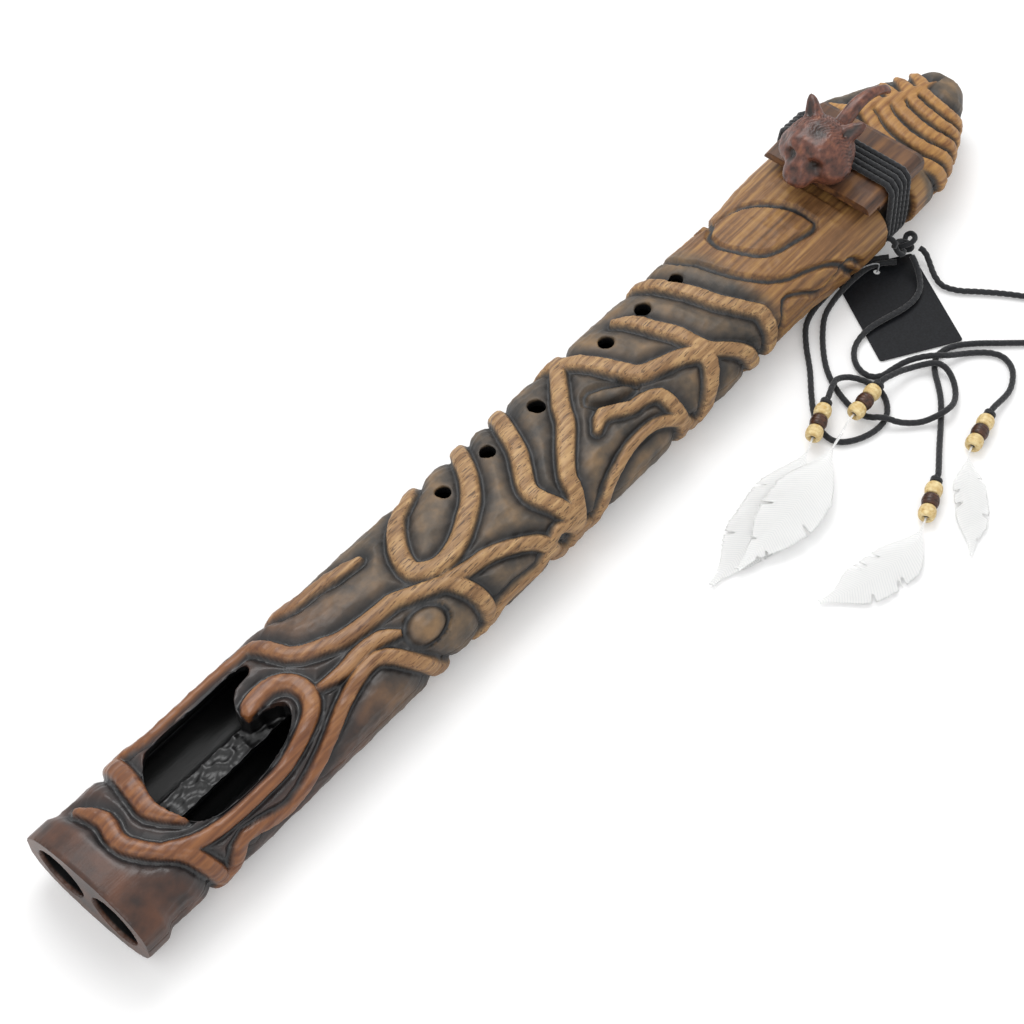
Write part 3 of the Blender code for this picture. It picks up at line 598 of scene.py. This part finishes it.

# %% [markdown]
# ## The carved body
# The whole flute is carved: raised, tan, rope-like ridges wind between dark painted grooves. The
# relief could be painted or bumped, but it shows in the outline, so it has to be real shape. Each
# half of the frame is taken as it is, with bores, holes and window, and cut into a fine, even mesh.
# Then every point of the outer skin moves in or out by its distance from given lines: the crest
# of a ridge stands proud, its foot falls into a groove, and the groove rises to a flat panel.
# The lines are drawn on the skin as if it were unrolled: distance from the foot, and distance round
# from the top, in millimetres.

# %% Ridges and grooves, as distance from the foot and place across, in millimetres
RIDGES = (
    # window: hooked band round its cord side, claw at its foot side, knob on the partition
    (3.4, ((96, -1), (101, 4), (112, 5), (120, 0), (122, -9), (117, -17), (104, -23), (91, -26.5),
           (79, -27), (65, -27), (53, -26), (41, -23), (30, -15))),
    (3.6, ((45, 33), (44, 24), (41, 10), (40, 0), (46, -13))),
    (3.2, ((52, 33), (62, 29.5), (78, 29.5), (96, 30), (112, 29), (124, 27), (130, 10), (143, 1),
           (153, -3), (166, -5), (179, -6), (186, -9), (197, -14), (203, -17), (207, -23),
           (210, -30))),
    (3.0, ((20, 26), (24, 12), (21, 0), (26, -12), (36, -24), (40, -33))),
    # left leaf and the hook round hole 1
    (4.0, ((150, 30), (163, 28), (175, 25), (186, 22))),
    (3.7, ((229, 31), (215, 25), (202, 12), (197, 1), (199, -4), (208, -9), (222, -7), (236, 0),
           (245, 6), (254, 16), (261, 27), (266, 34))),
    (3.4, ((205, -15), (214, -19), (230, -22), (249, -31))),
    # between holes 2 and 3, and beside hole 3
    (3.6, ((291, 30), (284, 17), (279, 7), (273, -1), (266, -10), (265, -17), (269, -26),
           (272, -33))),
    (3.6, ((334, 30), (323, 19), (312, 8), (306, 0), (293, -11), (284, -20), (281, -27),
           (277, -33))),
    # round the small diamond
    (3.0, ((313, -14), (322, -10), (334, -17), (341, -18), (350, -22), (352, -30))),
    # zigzag and hairpins between holes 4, 5 and 6
    (3.8, ((334, 30), (343, 13), (348, 0), (353, -8), (363, -12), (374, -16), (383, -22),
           (383, -28), (377, -34))),
    (3.4, ((371, 24), (376, 16), (379, 6), (383, -4), (385, -13), (388, -22), (397, -29),
           (404, -34))),
    (3.4, ((402, 29), (406, 15), (410, 3), (413, -8), (420, -20), (425, -27), (425, -33))),
    # cord side, low: braces that show between the ridges
    (3.2, ((60, -34), (84, -36), (110, -32), (128, -25), (146, -20), (158, -22), (168, -33))),
    (3.0, ((128, -12), (140, -14), (152, -13), (163, -15), (170, -19))),
    (3.0, ((300, -34), (318, -30), (336, -30), (348, -34))),
    (3.0, ((222, -36), (246, -38), (262, -33), (274, -36))),
)
GROOVES = (
    (1.3, ((423, 31), (423, 24), (426, 14), (429, 2), (434, -9), (442, -19), (452, -25),
           (463, -28), (478, -33))),
    (1.4, ((449, 33), (456, 29), (468, 26), (477, 20), (484, 10), (488, 0), (488, -13))),
    (1.3, ((488, -13), (483, -15), (472, -13), (459, -10), (451, -5), (446, 5), (443, 14),
           (447, 24), (456, 29))),
    (1.0, ((320, 0), (327, 4), (344, -6), (345, -12), (331, -9), (320, 0))),
    (1.1, ((440, -30), (452, -33), (466, -36), (486, -35))),
)
CREST_WIDENING = 1.28
BALL = (182.0, -25.0, 10.5)
BODY_HALF_WIDTH = 35.8
BODY_HALF_HEIGHT = 21.0
SECTION_POWER = 2.5


def unrolled(across):
    """Distance round the skin from the top line, for a place across the top."""
    share = min(0.999, abs(across) / BODY_HALF_WIDTH)
    drop = BODY_HALF_HEIGHT * (1 - (1 - share ** SECTION_POWER) ** (1 / SECTION_POWER))
    return math.copysign(abs(across) + drop, across)


def carved_line(width, points):
    """A line's points on the unrolled skin. An end at the side runs on underneath."""
    width = width * CREST_WIDENING
    flat = [(x, unrolled(y), width) for x, y in points]
    for end, before in ((0, 1), (-1, -2)):
        (x, v, _), (x_before, v_before, _) = flat[end], flat[before]
        if abs(points[end][1]) > 26:
            side = math.copysign(1.0, v)
            drift = max(-14.0, min(14.0, 1.2 * (x - x_before)))
            more = [(x + 0.6 * drift, side * max(58.0, abs(v) + 8), width),
                    (x + 1.2 * drift, side * 76.0, 0.9 * width), (x - drift, side * 97.0, 0.5 * width)]
            flat = flat + more if end else more[::-1] + flat
        else:
            flat[end] = (x, v, 0.55 * width)
    return smooth_line(flat, 3)


# %% [markdown]
# The head end, past the cord, has ribs that curl over it like stripes. They are alike, so a loop
# draws them, with one long rib that they spring from. The photograph doesn't show the underside: a
# ridge that reaches a side runs on round it and thins out underneath.

# %% Ribs of the head end
RIB_PLACES = (563, 574, 585, 596, 607)
HEAD_RIBS = [(3.1, ((x + 13, 24), (x + 7, 12), (x, 1), (x - 4, -12), (x - 3, -24), (x + 4, -33)))
             for x in RIB_PLACES]
HEAD_RIBS.append((3.0, ((560, 34), (568, 22), (580, 12), (598, 6), (622, 4))))
ridge_lines = [carved_line(width, points) for width, points in RIDGES + tuple(HEAD_RIBS)]
groove_lines = [carved_line(width / CREST_WIDENING, points) for width, points in GROOVES]
print("ridges:", len(ridge_lines), "grooves:", len(groove_lines))

# %% [markdown]
# The relief hangs on one measure: how far a point is from the edge of the nearest line. Checking
# each point against each piece of line would be slow, so only points near a piece are measured
# against it.

# %% Distance from a ridge's edge


def edge_distance(x, v, lines, far=14.0):
    """Distance of each point from the edge of the nearest line: below 0 on the line itself."""
    nearest = np.full(len(x), far)
    for line in lines:
        for (ax, av, aw), (bx, bv, bw) in zip(line, line[1:]):
            near = np.flatnonzero((x > min(ax, bx) - far) & (x < max(ax, bx) + far)
                                  & (v > min(av, bv) - far) & (v < max(av, bv) + far))
            if len(near) == 0:
                continue
            px, pv = x[near] - ax, v[near] - av
            dx, dv = bx - ax, bv - av
            share = np.clip((px * dx + pv * dv) / (dx * dx + dv * dv + 1e-9), 0, 1)
            away = np.hypot(px - share * dx, pv - share * dv) - (aw + share * (bw - aw))
            nearest[near] = np.minimum(nearest[near], away)
    return nearest


# %% [markdown]
# A knife leaves shallow scoops. They could come from a bump map, but they catch the light along
# every ridge, so they are shape too: a loose grid of points, each the middle of a small hollow.

# %% Knife scoops and relief


def scoops(x, v, long, wide):
    """0 in the middle of a scoop, rising to its rim."""
    i, j = np.floor(x / long), np.floor(v / wide)
    best = np.full(len(x), 9.0)
    for di in (-1, 0, 1):
        for dj in (-1, 0, 1):
            seed = np.sin((i + di) * 12.9898 + (j + dj) * 78.233) * 43758.5453
            a = seed - np.floor(seed)
            b = seed * 1.7 - np.floor(seed * 1.7)
            along = x / long - i - di - 0.15 - 0.7 * a
            across = v / wide - j - dj - 0.15 - 0.7 * b
            best = np.minimum(best, along ** 2 + across ** 2)
    return np.minimum(best, 1.0)


EDGE_KNOTS = (-5.0, -3.0, -1.6, -0.5, 0.3, 1.0, 1.8, 3.2, 5.5, 9.0)
EDGE_HEIGHTS = (1.3, 1.2, 0.9, 0.1, -1.6, -2.7, -2.8, -1.7, -0.6, 0.1)


RIM_LENGTH = 11
RIM_PROUD = 0.8
NECK_DEPTH = 1.8
HEAD_WIDENING = 3.4
NOSE_START = 568
NOSE_LENGTH = 62
TIP_HALF_WIDTH = 12.5


def half_width(x):
    """Half the body's width at each place along it, and the share of the nose that is behind."""
    past_rim = smooth((x - RIM_LENGTH) / 4)
    width = BODY_HALF_WIDTH + RIM_PROUD * (1 - past_rim)
    width = width - NECK_DEPTH * past_rim * (1 - smooth((x - 20) / 30))
    width = width + HEAD_WIDENING * smooth((x - 460) / 35)
    nose = np.clip((x - NOSE_START) / NOSE_LENGTH, 0, 1)
    return width + (TIP_HALF_WIDTH - width) * nose ** 1.5, nose


# %% [markdown]
# Next, each point needs its place on the skin. The body's cut is a rounded oblong, so a point's
# fullness tells whether it is on the outer skin, at 1, or on the wall of a bore or hole, at less.
# The knife works only on the skin, and its stroke goes straight out or in from there.

# %% Place on the skin
TIP_DROP = 9
TIP_RISE = 6
BASE_FLAT_DEPTH = 0.5


def place_on_skin(points):
    """Place along, across and up in millimetres, place round, fullness, and the way out."""
    x, y, z = (points[:, 0] - FOOT_X) / MM, points[:, 1] / MM, points[:, 2] / MM
    width, nose = half_width(x)
    up = z - BODY_HALF_HEIGHT
    above = BODY_HALF_HEIGHT - TIP_DROP * nose ** 2.5
    below = BODY_HALF_HEIGHT + BASE_FLAT_DEPTH - TIP_RISE * nose ** 2
    height = np.where(up > 0, above, below)
    share_y, share_z = np.abs(y) / width, np.abs(up) / height
    fullness = share_y ** SECTION_POWER + share_z ** SECTION_POWER
    round_top = np.abs(y) + BODY_HALF_HEIGHT - up
    round_below = 2 * width + BODY_HALF_HEIGHT - np.abs(y) - up
    v = np.sign(y) * np.where(up > 0, round_top, round_below)
    steep = SECTION_POWER - 1
    out = np.column_stack((np.sign(y) * share_y ** steep / width,
                           np.sign(up) * share_z ** steep / height))
    out /= np.linalg.norm(out, axis=1)[:, None] + 1e-9
    return x, y, z, v, fullness, out


# %% [markdown]
# The stroke itself adds up what the carver did: crests and panels, the ball, the thin grooves of
# the golden wood, and the knife's scoops over all. The rim, the seat of the cord and the wood under
# the plank stay plain.

# %% Stroke of the knife
BALL_KNOTS = (0, 0.5, 0.85, 1.0, 1.15, 1.3)
BALL_HEIGHTS = (1.8, 1.3, 0.0, -2.2, -2.8, -2.0)
GOLD_LEVEL = -0.2
GOLD_START = 424
GOLD_END = 552
PLAIN_START = 494
PLAIN_END = 558
GROOVE_DEPTH = 2.3
LARGE_SCOOPS = (9.0, 6.0)
LARGE_SCOOP_DEPTH = 0.9
SMALL_SCOOPS = (4.2, 3.4)
SMALL_SCOOP_DEPTH = 0.35
SCOOP_LEVEL = 0.3
SHOULDER_HEIGHT = 4.5
SHOULDER_PLACE = (566, 46)


def golden_zone(x):
    return smooth((x - GOLD_START) / 14) * (1 - smooth((x - GOLD_END) / 8))


def plain_zone(x):
    """1 where the plank and the cord lie on the body."""
    return smooth((x - PLAIN_START) / 8) * (1 - smooth((x - PLAIN_END) / 5))


def stroke(x, v, edge, ball, cut):
    relief = np.interp(edge, EDGE_KNOTS, EDGE_HEIGHTS)
    relief = np.where(ball < BALL_KNOTS[-1], np.interp(ball, BALL_KNOTS, BALL_HEIGHTS), relief)
    gold = golden_zone(x)
    relief = relief * (1 - gold) + GOLD_LEVEL * gold
    relief -= GROOVE_DEPTH * (1 - smooth(cut / 1.8))
    large = LARGE_SCOOP_DEPTH * (scoops(x, v, *LARGE_SCOOPS) - SCOOP_LEVEL)
    small = SMALL_SCOOP_DEPTH * (scoops(x + 40, v, *SMALL_SCOOPS) - SCOOP_LEVEL)
    relief += large + small
    shoulder_x, shoulder_v = SHOULDER_PLACE
    shoulder = np.exp(-((x - shoulder_x) / 11) ** 2) * np.exp(-((v - shoulder_v) / 14) ** 2)
    strength = smooth((x - 12) / 6) * (1 - plain_zone(x)) * (1 - 0.75 * smooth((x - 618) / 10))
    return strength * (relief + SHOULDER_HEIGHT * shoulder)


# %% [markdown]
# The finish has to know where it is: on a crest, deep in a groove, on the wall of a bore or hole,
# in the golden zone, near the foot or on the head end. The walls of the bores and holes get a
# painted shade, near black. These fields are worked out once, while the distances are at hand.

# %% Fields for the finish
STAIN_END = 95
WINDOW_ENDS = (44, 116)
PARTITION_HALF_WIDTH = 7
PARTITION_FLOOR = 27.0
PARTITION_ROUGHNESS = 3.2


def finish_fields(x, edge, ball, cut, bore_shade_share):
    gold = golden_zone(x)
    groove_paint_and_bore_shade = np.clip(np.interp(edge, (-0.6, 0.8, 3.0, 9.0), (0.0, 1.0, 0.9, 0.15)), 0, 1) * (1 - gold)
    groove_paint_and_bore_shade = np.where(ball < 1.25, np.interp(ball, (0.7, 1.05, 1.25), (0.1, 1.0, 0.95)), groove_paint_and_bore_shade)
    groove_paint_and_bore_shade = np.maximum(groove_paint_and_bore_shade, 1 - smooth((cut + 0.6) / 1.8))
    groove_paint_and_bore_shade *= smooth((x - 10) / 5) * (1 - plain_zone(x))
    return {
        "ridge": (1 - smooth((edge + 0.8) / 1.4)) * (ball > 1.1),
        # charcoal paint in the grooves, with the painted shade of the bore walls added
        "groove_paint_and_bore_shade": np.maximum(groove_paint_and_bore_shade, bore_shade_share),
        "gold": gold,
        "painted_bore_shade": bore_shade_share,
        "foot": 1 - smooth((x - STAIN_END) / 110),
        "head": smooth((x - GOLD_END) / 10),
    }


def carve(points):
    """Moves the points of the outer skin, and gives the finish's fields at each point."""
    x, y, z, v, fullness, out = place_on_skin(points)
    edge = edge_distance(x, v, ridge_lines)
    cut = edge_distance(x, v, groove_lines, 6.0)
    ball_x, ball_y, ball_radius = BALL
    ball = np.hypot(x - ball_x, v - unrolled(ball_y)) / ball_radius
    on_skin = smooth((fullness - 0.82) / 0.12)
    move = on_skin * stroke(x, v, edge, ball, cut)
    moved = points.copy()
    moved[:, 1:] += move[:, None] * out * MM
    moved[:, 2] = np.maximum(moved[:, 2], 0.0)
    # the rough top of the wall between the bores, seen through the window
    in_window = (x > WINDOW_ENDS[0]) * (x < WINDOW_ENDS[1]) * (z > PARTITION_FLOOR)
    partition = in_window * (np.abs(y - 1) < PARTITION_HALF_WIDTH) * (fullness < 0.78)
    moved[:, 2] += partition * (PARTITION_ROUGHNESS * scoops(x, y + 30, 6.0, 4.0) - 2.2) * MM
    # painted shade: marks the walls of the bores and holes, which the finish colours near black
    bore_shade_share = (1 - smooth((fullness - 0.74) / 0.16)) * (x > 1.4) * (z < 38.6)
    return moved, finish_fields(x, edge, ball, cut, bore_shade_share)


# %% [markdown]
# ## The finish of the carved wood
# Charcoal paint fills the grooves, the panels are smoked to a grey brown, and the crests are rubbed
# back to bare tan wood with open pores. Towards the foot the same wood is stained red brown and
# polished, and in front of the block it is smooth and golden. Painting each place by hand would
# need an image. The carving already knows where a crest or a groove is, so it hands these fields to
# the finish.

# %% Carved wood finish
wood = Finish("carved_wood_finish", 0.5)
grain = wood.noise(1.0, (14, 420, 420), 5.0)
pores = wood.noise(1.0, (150, 1500, 1500), 2.0)
clouds = wood.noise(90.0, (1, 1, 1), 4.0)
panel = wood.steps(clouds, (0.3, "3a342d"), (0.5, "63523e"), (0.72, "8a6d4a"))
crest = wood.steps(grain, (0.3, "6f4f2f"), (0.5, "98744c"), (0.7, "b99566"))
crest = wood.mix(wood.steps(pores, (0.56, 0.0), (0.66, 0.8)), crest, "3c2716")
body_colour = wood.mix(wood.field("ridge"), panel, crest)
stained_panel = wood.steps(clouds, (0.3, "2a1a14"), (0.7, "5a3623"))
stained_crest = wood.steps(grain, (0.3, "5a3019"), (0.7, "8d5a31"))
stained = wood.mix(wood.field("ridge"), stained_panel, stained_crest)
body_colour = wood.mix(wood.field("foot"), body_colour, stained)
golden = wood.steps(grain, (0.25, "4a3119"), (0.45, "785330"), (0.62, "99713f"), (0.8, "ad854f"))
body_colour = wood.mix(wood.field("gold"), body_colour, golden)
ribs = wood.mix(wood.field("ridge"), panel, wood.steps(grain, (0.3, "7d5127"), (0.7, "b98a4c")))
body_colour = wood.mix(wood.field("head"), body_colour, ribs)
paint = wood.steps(clouds, (0.3, "121416"), (0.8, "2a2c2f"))
body_colour = wood.mix(wood.field("groove_paint_and_bore_shade"), body_colour, paint)
# painted shade: the walls of the bores and holes are coloured near black
wood.colour(wood.mix(wood.field("painted_bore_shade"), body_colour, "050506"))
wood.roughness(wood.field("foot"), 0.52, 0.34)
wood.relief(wood.mix(0.5, grain, pores), 0.35, 0.0004)
print("nodes in the carved wood's finish:", len(wood.nodes))

# %% [markdown]
# Now both halves are carved. The glue line is drawn shut first: each half's flat face is moved a
# little past the middle, so that the two meet in a fine line, as glued wood does. Then the mesh is
# made even, because the frame's long faces have no points for the knife to move.

# %% Carve both halves
VOXEL = 0.0009
GLUE_OVERLAP = 0.00045


def place_of_points(mesh):
    points = np.empty(len(mesh.vertices) * 3)
    mesh.vertices.foreach_get("co", points)
    return points.reshape(-1, 3)


def even_mesh(piece):
    """The piece's surface as an even net of small squares."""
    remesh = piece.modifiers.new("even mesh", "REMESH")
    remesh.mode = "VOXEL"
    remesh.voxel_size = VOXEL
    shape = piece.evaluated_get(bpy.context.evaluated_depsgraph_get())
    even = bpy.data.meshes.new_from_object(shape)
    piece.modifiers.clear()
    return even


def carved_half(node_name, piece_name, seam_shift):
    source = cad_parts[node_name]
    mesh = source.data.copy()
    points = place_of_points(mesh)
    seam = np.abs(points[:, 2] - MID_HEIGHT) < 0.0004
    points[seam, 2] = MID_HEIGHT + seam_shift
    mesh.vertices.foreach_set("co", points.ravel())
    piece = bpy.data.objects.new(piece_name, mesh)
    bpy.context.scene.collection.objects.link(piece)
    even = even_mesh(piece)
    piece.data = even
    moved, fields = carve(place_of_points(even))
    even.vertices.foreach_set("co", moved.ravel())
    for name, values in fields.items():
        layer = even.attributes.new(name, "FLOAT", "POINT")
        layer.data.foreach_set("value", values.astype(np.float32))
    even.materials.clear()
    even.materials.append(wood.material)
    even.shade_smooth()
    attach(piece, "flute")
    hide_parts(node_name)
    print(piece_name, "points:", len(even.vertices))


carved_half("body_upper_half", "carved_upper_half", -GLUE_OVERLAP)
carved_half("body_lower_half", "carved_lower_half", GLUE_OVERLAP)

# %% [markdown]
# ## The block
# The block is a flat board under the cord with a cat's head carved on it. The frame's board has the
# right shape, rounded ends and all, so it stays and only gets a striped wood finish. The head is a
# ball pushed in and out along its own directions: cheeks, muzzle, brows, eye sockets and ears are
# smooth swellings or hollows. Sculpting by hand can't be repeated, and this can.

# %% Plank finish
plank = Finish("striped_plank_wood", 0.5)
stripes = plank.noise(1.0, (26, 210, 210), 4.0)
plank.colour(plank.steps(stripes, (0.3, "2a1a12"), (0.48, "553620"), (0.7, "80572f")))
plank.relief(stripes, 0.4, 0.0004)
plank_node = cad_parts["block_plank"]
for slot in plank_node.material_slots:
    slot.material = plank.material

# %% Forms of the cat head
HEAD_CENTRE = np.array((0.195, 0.004, 0.0648))
HEAD_SIZE = np.array((0.0172, 0.0185, 0.0165))
PLANK_TOP = 0.0493
# each form: direction from the middle of the head, reach of the form in radians, height in millimetres
PAIRED_FORMS = (
    ((-0.35, 0.85, -0.25), 0.75, 2.6),  # cheek
    ((-0.7, 0.42, 0.52), 0.42, 1.8),  # brow
    ((-0.88, 0.4, 0.18), 0.32, -3.0),  # eye socket
    ((-0.86, 0.39, 0.19), 0.15, 1.5),  # eyeball
    ((-0.9, 0.22, -0.28), 0.34, 1.3),  # whisker pad
    ((-0.96, 0.1, -0.14), 0.06, -0.9),  # nostril
    ((-0.45, 0.8, 0.18), 0.3, -0.8),  # temple
    ((-0.1, 0.92, -0.1), 0.3, 0.9),  # jaw behind the cheek
    ((-0.8, 0.46, -0.42), 0.22, -1.0),  # corner of the mouth
)
SINGLE_FORMS = (
    ((-0.94, 0.0, -0.26), 0.68, 7.5),  # muzzle
    ((-0.98, 0.0, -0.02), 0.2, -1.4),  # hollow above the nose
    ((-0.975, 0.0, -0.16), 0.16, 1.3),  # tip of the nose
    ((-0.86, 0.0, -0.5), 0.24, -3.2),  # mouth
    ((-0.72, 0.0, -0.7), 0.26, 1.2),  # chin
    ((-0.3, 0.0, 0.95), 0.5, -2.0),  # dip of the crown
)


def swelling(directions, centre, reach):
    centre = np.array(centre) / np.linalg.norm(centre)
    return smooth(1 - np.arccos(np.clip(directions @ centre, -1, 1)) / reach)


# %% [markdown]
# The head starts as a fine ball. Its fur is a fan of shallow grooves at the back, and the knife's
# scoops go over it too. Where it meets the plank it is flat, and it stops short of the cord behind
# it.

# %% Shape the cat head
FUR_GROOVES = 26
FUR_DEPTH = 0.0007
EAR_HEIGHT = 0.0105
EAR_HOLLOW = 0.0030
head_ball = bmesh.new()
bmesh.ops.create_icosphere(head_ball, subdivisions=6, radius=1.0)
way = np.array([tuple(vert.co.normalized()) for vert in head_ball.verts])
head_faces = [tuple(vert.index for vert in face.verts) for face in head_ball.faces]
head_ball.free()
reach = 1 / np.linalg.norm(way / HEAD_SIZE, axis=1)
# painted shade: how dark each point is coloured, from the depth of its hollow, fur groove or ear
hollow_shade = np.zeros(len(way))
for centre, size, height in SINGLE_FORMS:
    form = swelling(way, centre, size) * height
    reach += form * MM
    hollow_shade -= np.minimum(form, 0)
for centre, size, height in PAIRED_FORMS:
    for side in (1, -1):
        form = swelling(way, (centre[0], side * centre[1], centre[2]), size) * height
        reach += form * MM
        hollow_shade -= np.minimum(form, 0)
for side in (1, -1):
    reach += EAR_HEIGHT * swelling(way, (0.46, side * 0.60, 0.64), 0.36) ** 1.4
    ear = swelling(way, (0.30, side * 0.62, 0.72), 0.17)
    reach -= EAR_HOLLOW * ear
    hollow_shade += 2.5 * ear
around = np.arctan2(way[:, 1], way[:, 2])
fur = np.abs(np.sin(FUR_GROOVES * around + 3 * np.sin(9 * way[:, 0])))
fur_share = smooth((way[:, 0] + 0.55) / 0.5)
reach -= FUR_DEPTH * (1 - fur) ** 2 * fur_share
hollow_shade += 1.2 * (1 - fur) ** 2 * fur_share
reach += 0.0001 - 0.0004 * scoops(way[:, 0] * 30 + 90, way[:, 1] * 30 + 90, 4.0, 4.0)
head_points = HEAD_CENTRE + way * reach[:, None]
head_points[:, 2] = np.maximum(head_points[:, 2], PLANK_TOP + 0.0003)
low = head_points[:, 2] < PLANK_TOP + CORD_DIAMETER + 0.003
head_points[low, 0] = np.minimum(head_points[low, 0], WINDING_X - CORD_DIAMETER / 2 - 0.0013)
print("head's points:", len(head_points))

# %% [markdown]
# The head is stained red brown, with a painted shade that darkens every hollow, the fur grooves and
# the inner ears. The hollows are known from its shape, so the finish takes them from there.

# %% Cat head finish
head_finish = Finish("stained_head_wood", 0.36)
stain = head_finish.noise(260.0, (1, 1, 1), 4.0)
streaks = head_finish.noise(1.0, (60, 500, 500), 4.0)
red = head_finish.steps(stain, (0.3, "3a211a"), (0.55, "6b4032"), (0.8, "8d5a40"))
red = head_finish.mix(head_finish.steps(streaks, (0.5, 0.0), (0.7, 0.5)), red, "2b1a15")
# painted shade: the colour goes towards near black in the hollows
head_finish.colour(head_finish.mix(head_finish.field("hollow_shade"), red, "15110f"))
head_finish.relief(streaks, 0.35, 0.0003)
cat_head = mesh_piece("carved_cat_head", head_points, head_faces, head_finish.material)
layer = cat_head.data.attributes.new("hollow_shade", "FLOAT", "POINT")
layer.data.foreach_set("value", np.clip(hollow_shade / 2.2, 0, 0.95).astype(np.float32))
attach(cat_head, "block")
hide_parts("cat_head")
print("deepest hollow of the finish:", round(float(hollow_shade.max()), 1))

# %% [markdown]
# Behind the ears a small horn-like curl rises over the cord. It could be part of the ball, but it
# overhangs, so it is a tapering tube of its own, let into the back of the head.

# %% Curl behind the head
CURL_ROUTE = (
    (0.2065, 0.004, 0.0640), (0.214, 0.0038, 0.0690), (0.223, 0.003, 0.0745),
    (0.233, 0.001, 0.0768), (0.2425, -0.001, 0.0745), (0.2475, -0.002, 0.0695),
)
curl_line = evenly(smooth_line(CURL_ROUTE), 0.0008)
curl_length = reach_along(curl_line)[-1]
CURL_ROOT = 0.0044
CURL_TAPER = 0.0026


def curl_radius(along, around):
    share = along / curl_length
    flats = 1 + 0.07 * np.cos(5 * around + 9 * share)
    return (CURL_ROOT - CURL_TAPER * share ** 1.3) * flats * (1 - 0.6 * smooth((share - 0.92) / 0.08))


curl_points, curl_faces = tube_shape(curl_line, curl_radius, 20)
curl = mesh_piece("carved_curl", curl_points, curl_faces, head_finish.material)
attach(curl, "block")
print("curl length in mm:", round(curl_length * 1000))

# %% [markdown]
# ## Hang card and string
# A small black card lies under the cords, left bare. The frame's card is a thin plate with a
# punched hole, and that is what a card is, so it stays and gets a satin board finish. The string is
# clear and thin.

# %% Card and string
card = Finish("black_board", 0.42)
tooth = card.noise(900.0, (1, 1, 1), 3.0)
card.colour(card.steps(tooth, (0.3, "101114"), (0.8, "1d1f23")))
card.relief(tooth, 0.2, 0.0001)
card.shader.inputs["Specular IOR Level"].default_value = 0.2
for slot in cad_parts["hang_card"].material_slots:
    slot.material = card.material

string_finish = Finish("clear_string", 0.25)
clouding = string_finish.noise(700.0)
string_finish.colour(string_finish.steps(clouding, (0.3, "b4b7bb"), (0.7, "d8dadc")))
string_finish.shader.inputs["Transmission Weight"].default_value = 0.5
STRING_RADIUS = 0.0004
card_hole = np.array((199.13, -39.85, 0.6))
string_route = (card_hole, card_hole + (0, -0.6, 3.0), (199.6, -39.8, 6.2), (197.0, -38.0, 7.2),
                (193.0, -36.0, 7.3), (188.0, -34.0, 7.1))
string_line = evenly(smooth_line(np.array(string_route) * MM), 0.0008)
string_points, string_faces = tube_shape(string_line, lambda along, around: STRING_RADIUS, 10)
string = mesh_piece("thin_string", string_points, string_faces, string_finish.material)
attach(string, "flute")
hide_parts("card_string")
print("string length in mm:", round(reach_along(string_line)[-1] * 1000))

# %% [markdown]
# ## Table and light
# The photograph has a white table and soft light from above. A lit white floor alone comes out
# grey, so the camera sees a little glow added to it, and its shadow stays. The sky gives even
# light, and one wide lamp over the far side gives the crests their shine.

# %% Table
FLOOR_REACH = 6.0
FLOOR_GAP = 0.0004
CAMERA_GLOW = 0.16
floor_finish = Finish("white_table", 0.9)
floor_finish.shader.inputs["Base Color"].default_value = (0.86, 0.86, 0.86, 1.0)
floor_finish.shader.inputs["Specular IOR Level"].default_value = 0.1
floor_finish.shader.inputs["Emission Color"].default_value = (1.0, 1.0, 1.0, 1.0)
rays = floor_finish.nodes.new("ShaderNodeLightPath")
seen = floor_finish.nodes.new("ShaderNodeMath")
seen.operation = "MULTIPLY"
seen.inputs[1].default_value = CAMERA_GLOW
floor_finish.links.new(rays.outputs["Is Camera Ray"], seen.inputs[0])
floor_finish.links.new(seen.outputs["Value"], floor_finish.shader.inputs["Emission Strength"])
corners = [(x * FLOOR_REACH, y * FLOOR_REACH, 0) for x, y in ((-1, -1), (1, -1), (1, 1), (-1, 1))]
floor = mesh_piece("table", corners, [(0, 1, 2, 3)], floor_finish.material)
floor.location.z = -FLOOR_GAP
print("table side in metres:", 2 * FLOOR_REACH)

# %% [markdown]
# The sky is white where the camera, a gloss or a clear thing looks at it, and a little dimmer as a
# light. Both come from one background, whose strength depends on the kind of ray.

# %% Light
SKY_AS_LIGHT = 0.81
scene = bpy.context.scene
scene.view_settings.view_transform = "Standard"
world = bpy.data.worlds.new("soft_room")
scene.world = world
world.use_nodes = True
sky = world.node_tree.nodes["Background"]
sky.inputs["Color"].default_value = (1.0, 1.0, 1.0, 1.0)
path = world.node_tree.nodes.new("ShaderNodeLightPath")
value = path.outputs["Is Camera Ray"]
for ray in ("Is Glossy Ray", "Is Transmission Ray"):
    joined = world.node_tree.nodes.new("ShaderNodeMath")
    joined.operation = "MAXIMUM"
    world.node_tree.links.new(value, joined.inputs[0])
    world.node_tree.links.new(path.outputs[ray], joined.inputs[1])
    value = joined.outputs["Value"]
strength = world.node_tree.nodes.new("ShaderNodeMapRange")
strength.inputs["To Min"].default_value = SKY_AS_LIGHT
strength.inputs["To Max"].default_value = 1.0
world.node_tree.links.new(value, strength.inputs["Value"])
world.node_tree.links.new(strength.outputs["Result"], sky.inputs["Strength"])


def soft_lamp(name, place, size, power):
    data = bpy.data.lights.new(name, "AREA")
    data.size = size
    data.energy = power
    lamp = bpy.data.objects.new(name, data)
    lamp.location = place
    lamp.rotation_euler = (Vector((0, 0, 0)) - Vector(place)).to_track_quat("-Z", "Y").to_euler()
    scene.collection.objects.link(lamp)
    print(name, "watts:", power)


LAMP_SIDE = 0.8
soft_lamp("wide_lamp", (0.35, 0.55, 1.15), LAMP_SIDE, 8.0)
soft_lamp("fill_lamp", (-0.9, -0.3, 1.0), LAMP_SIDE, 2.5)
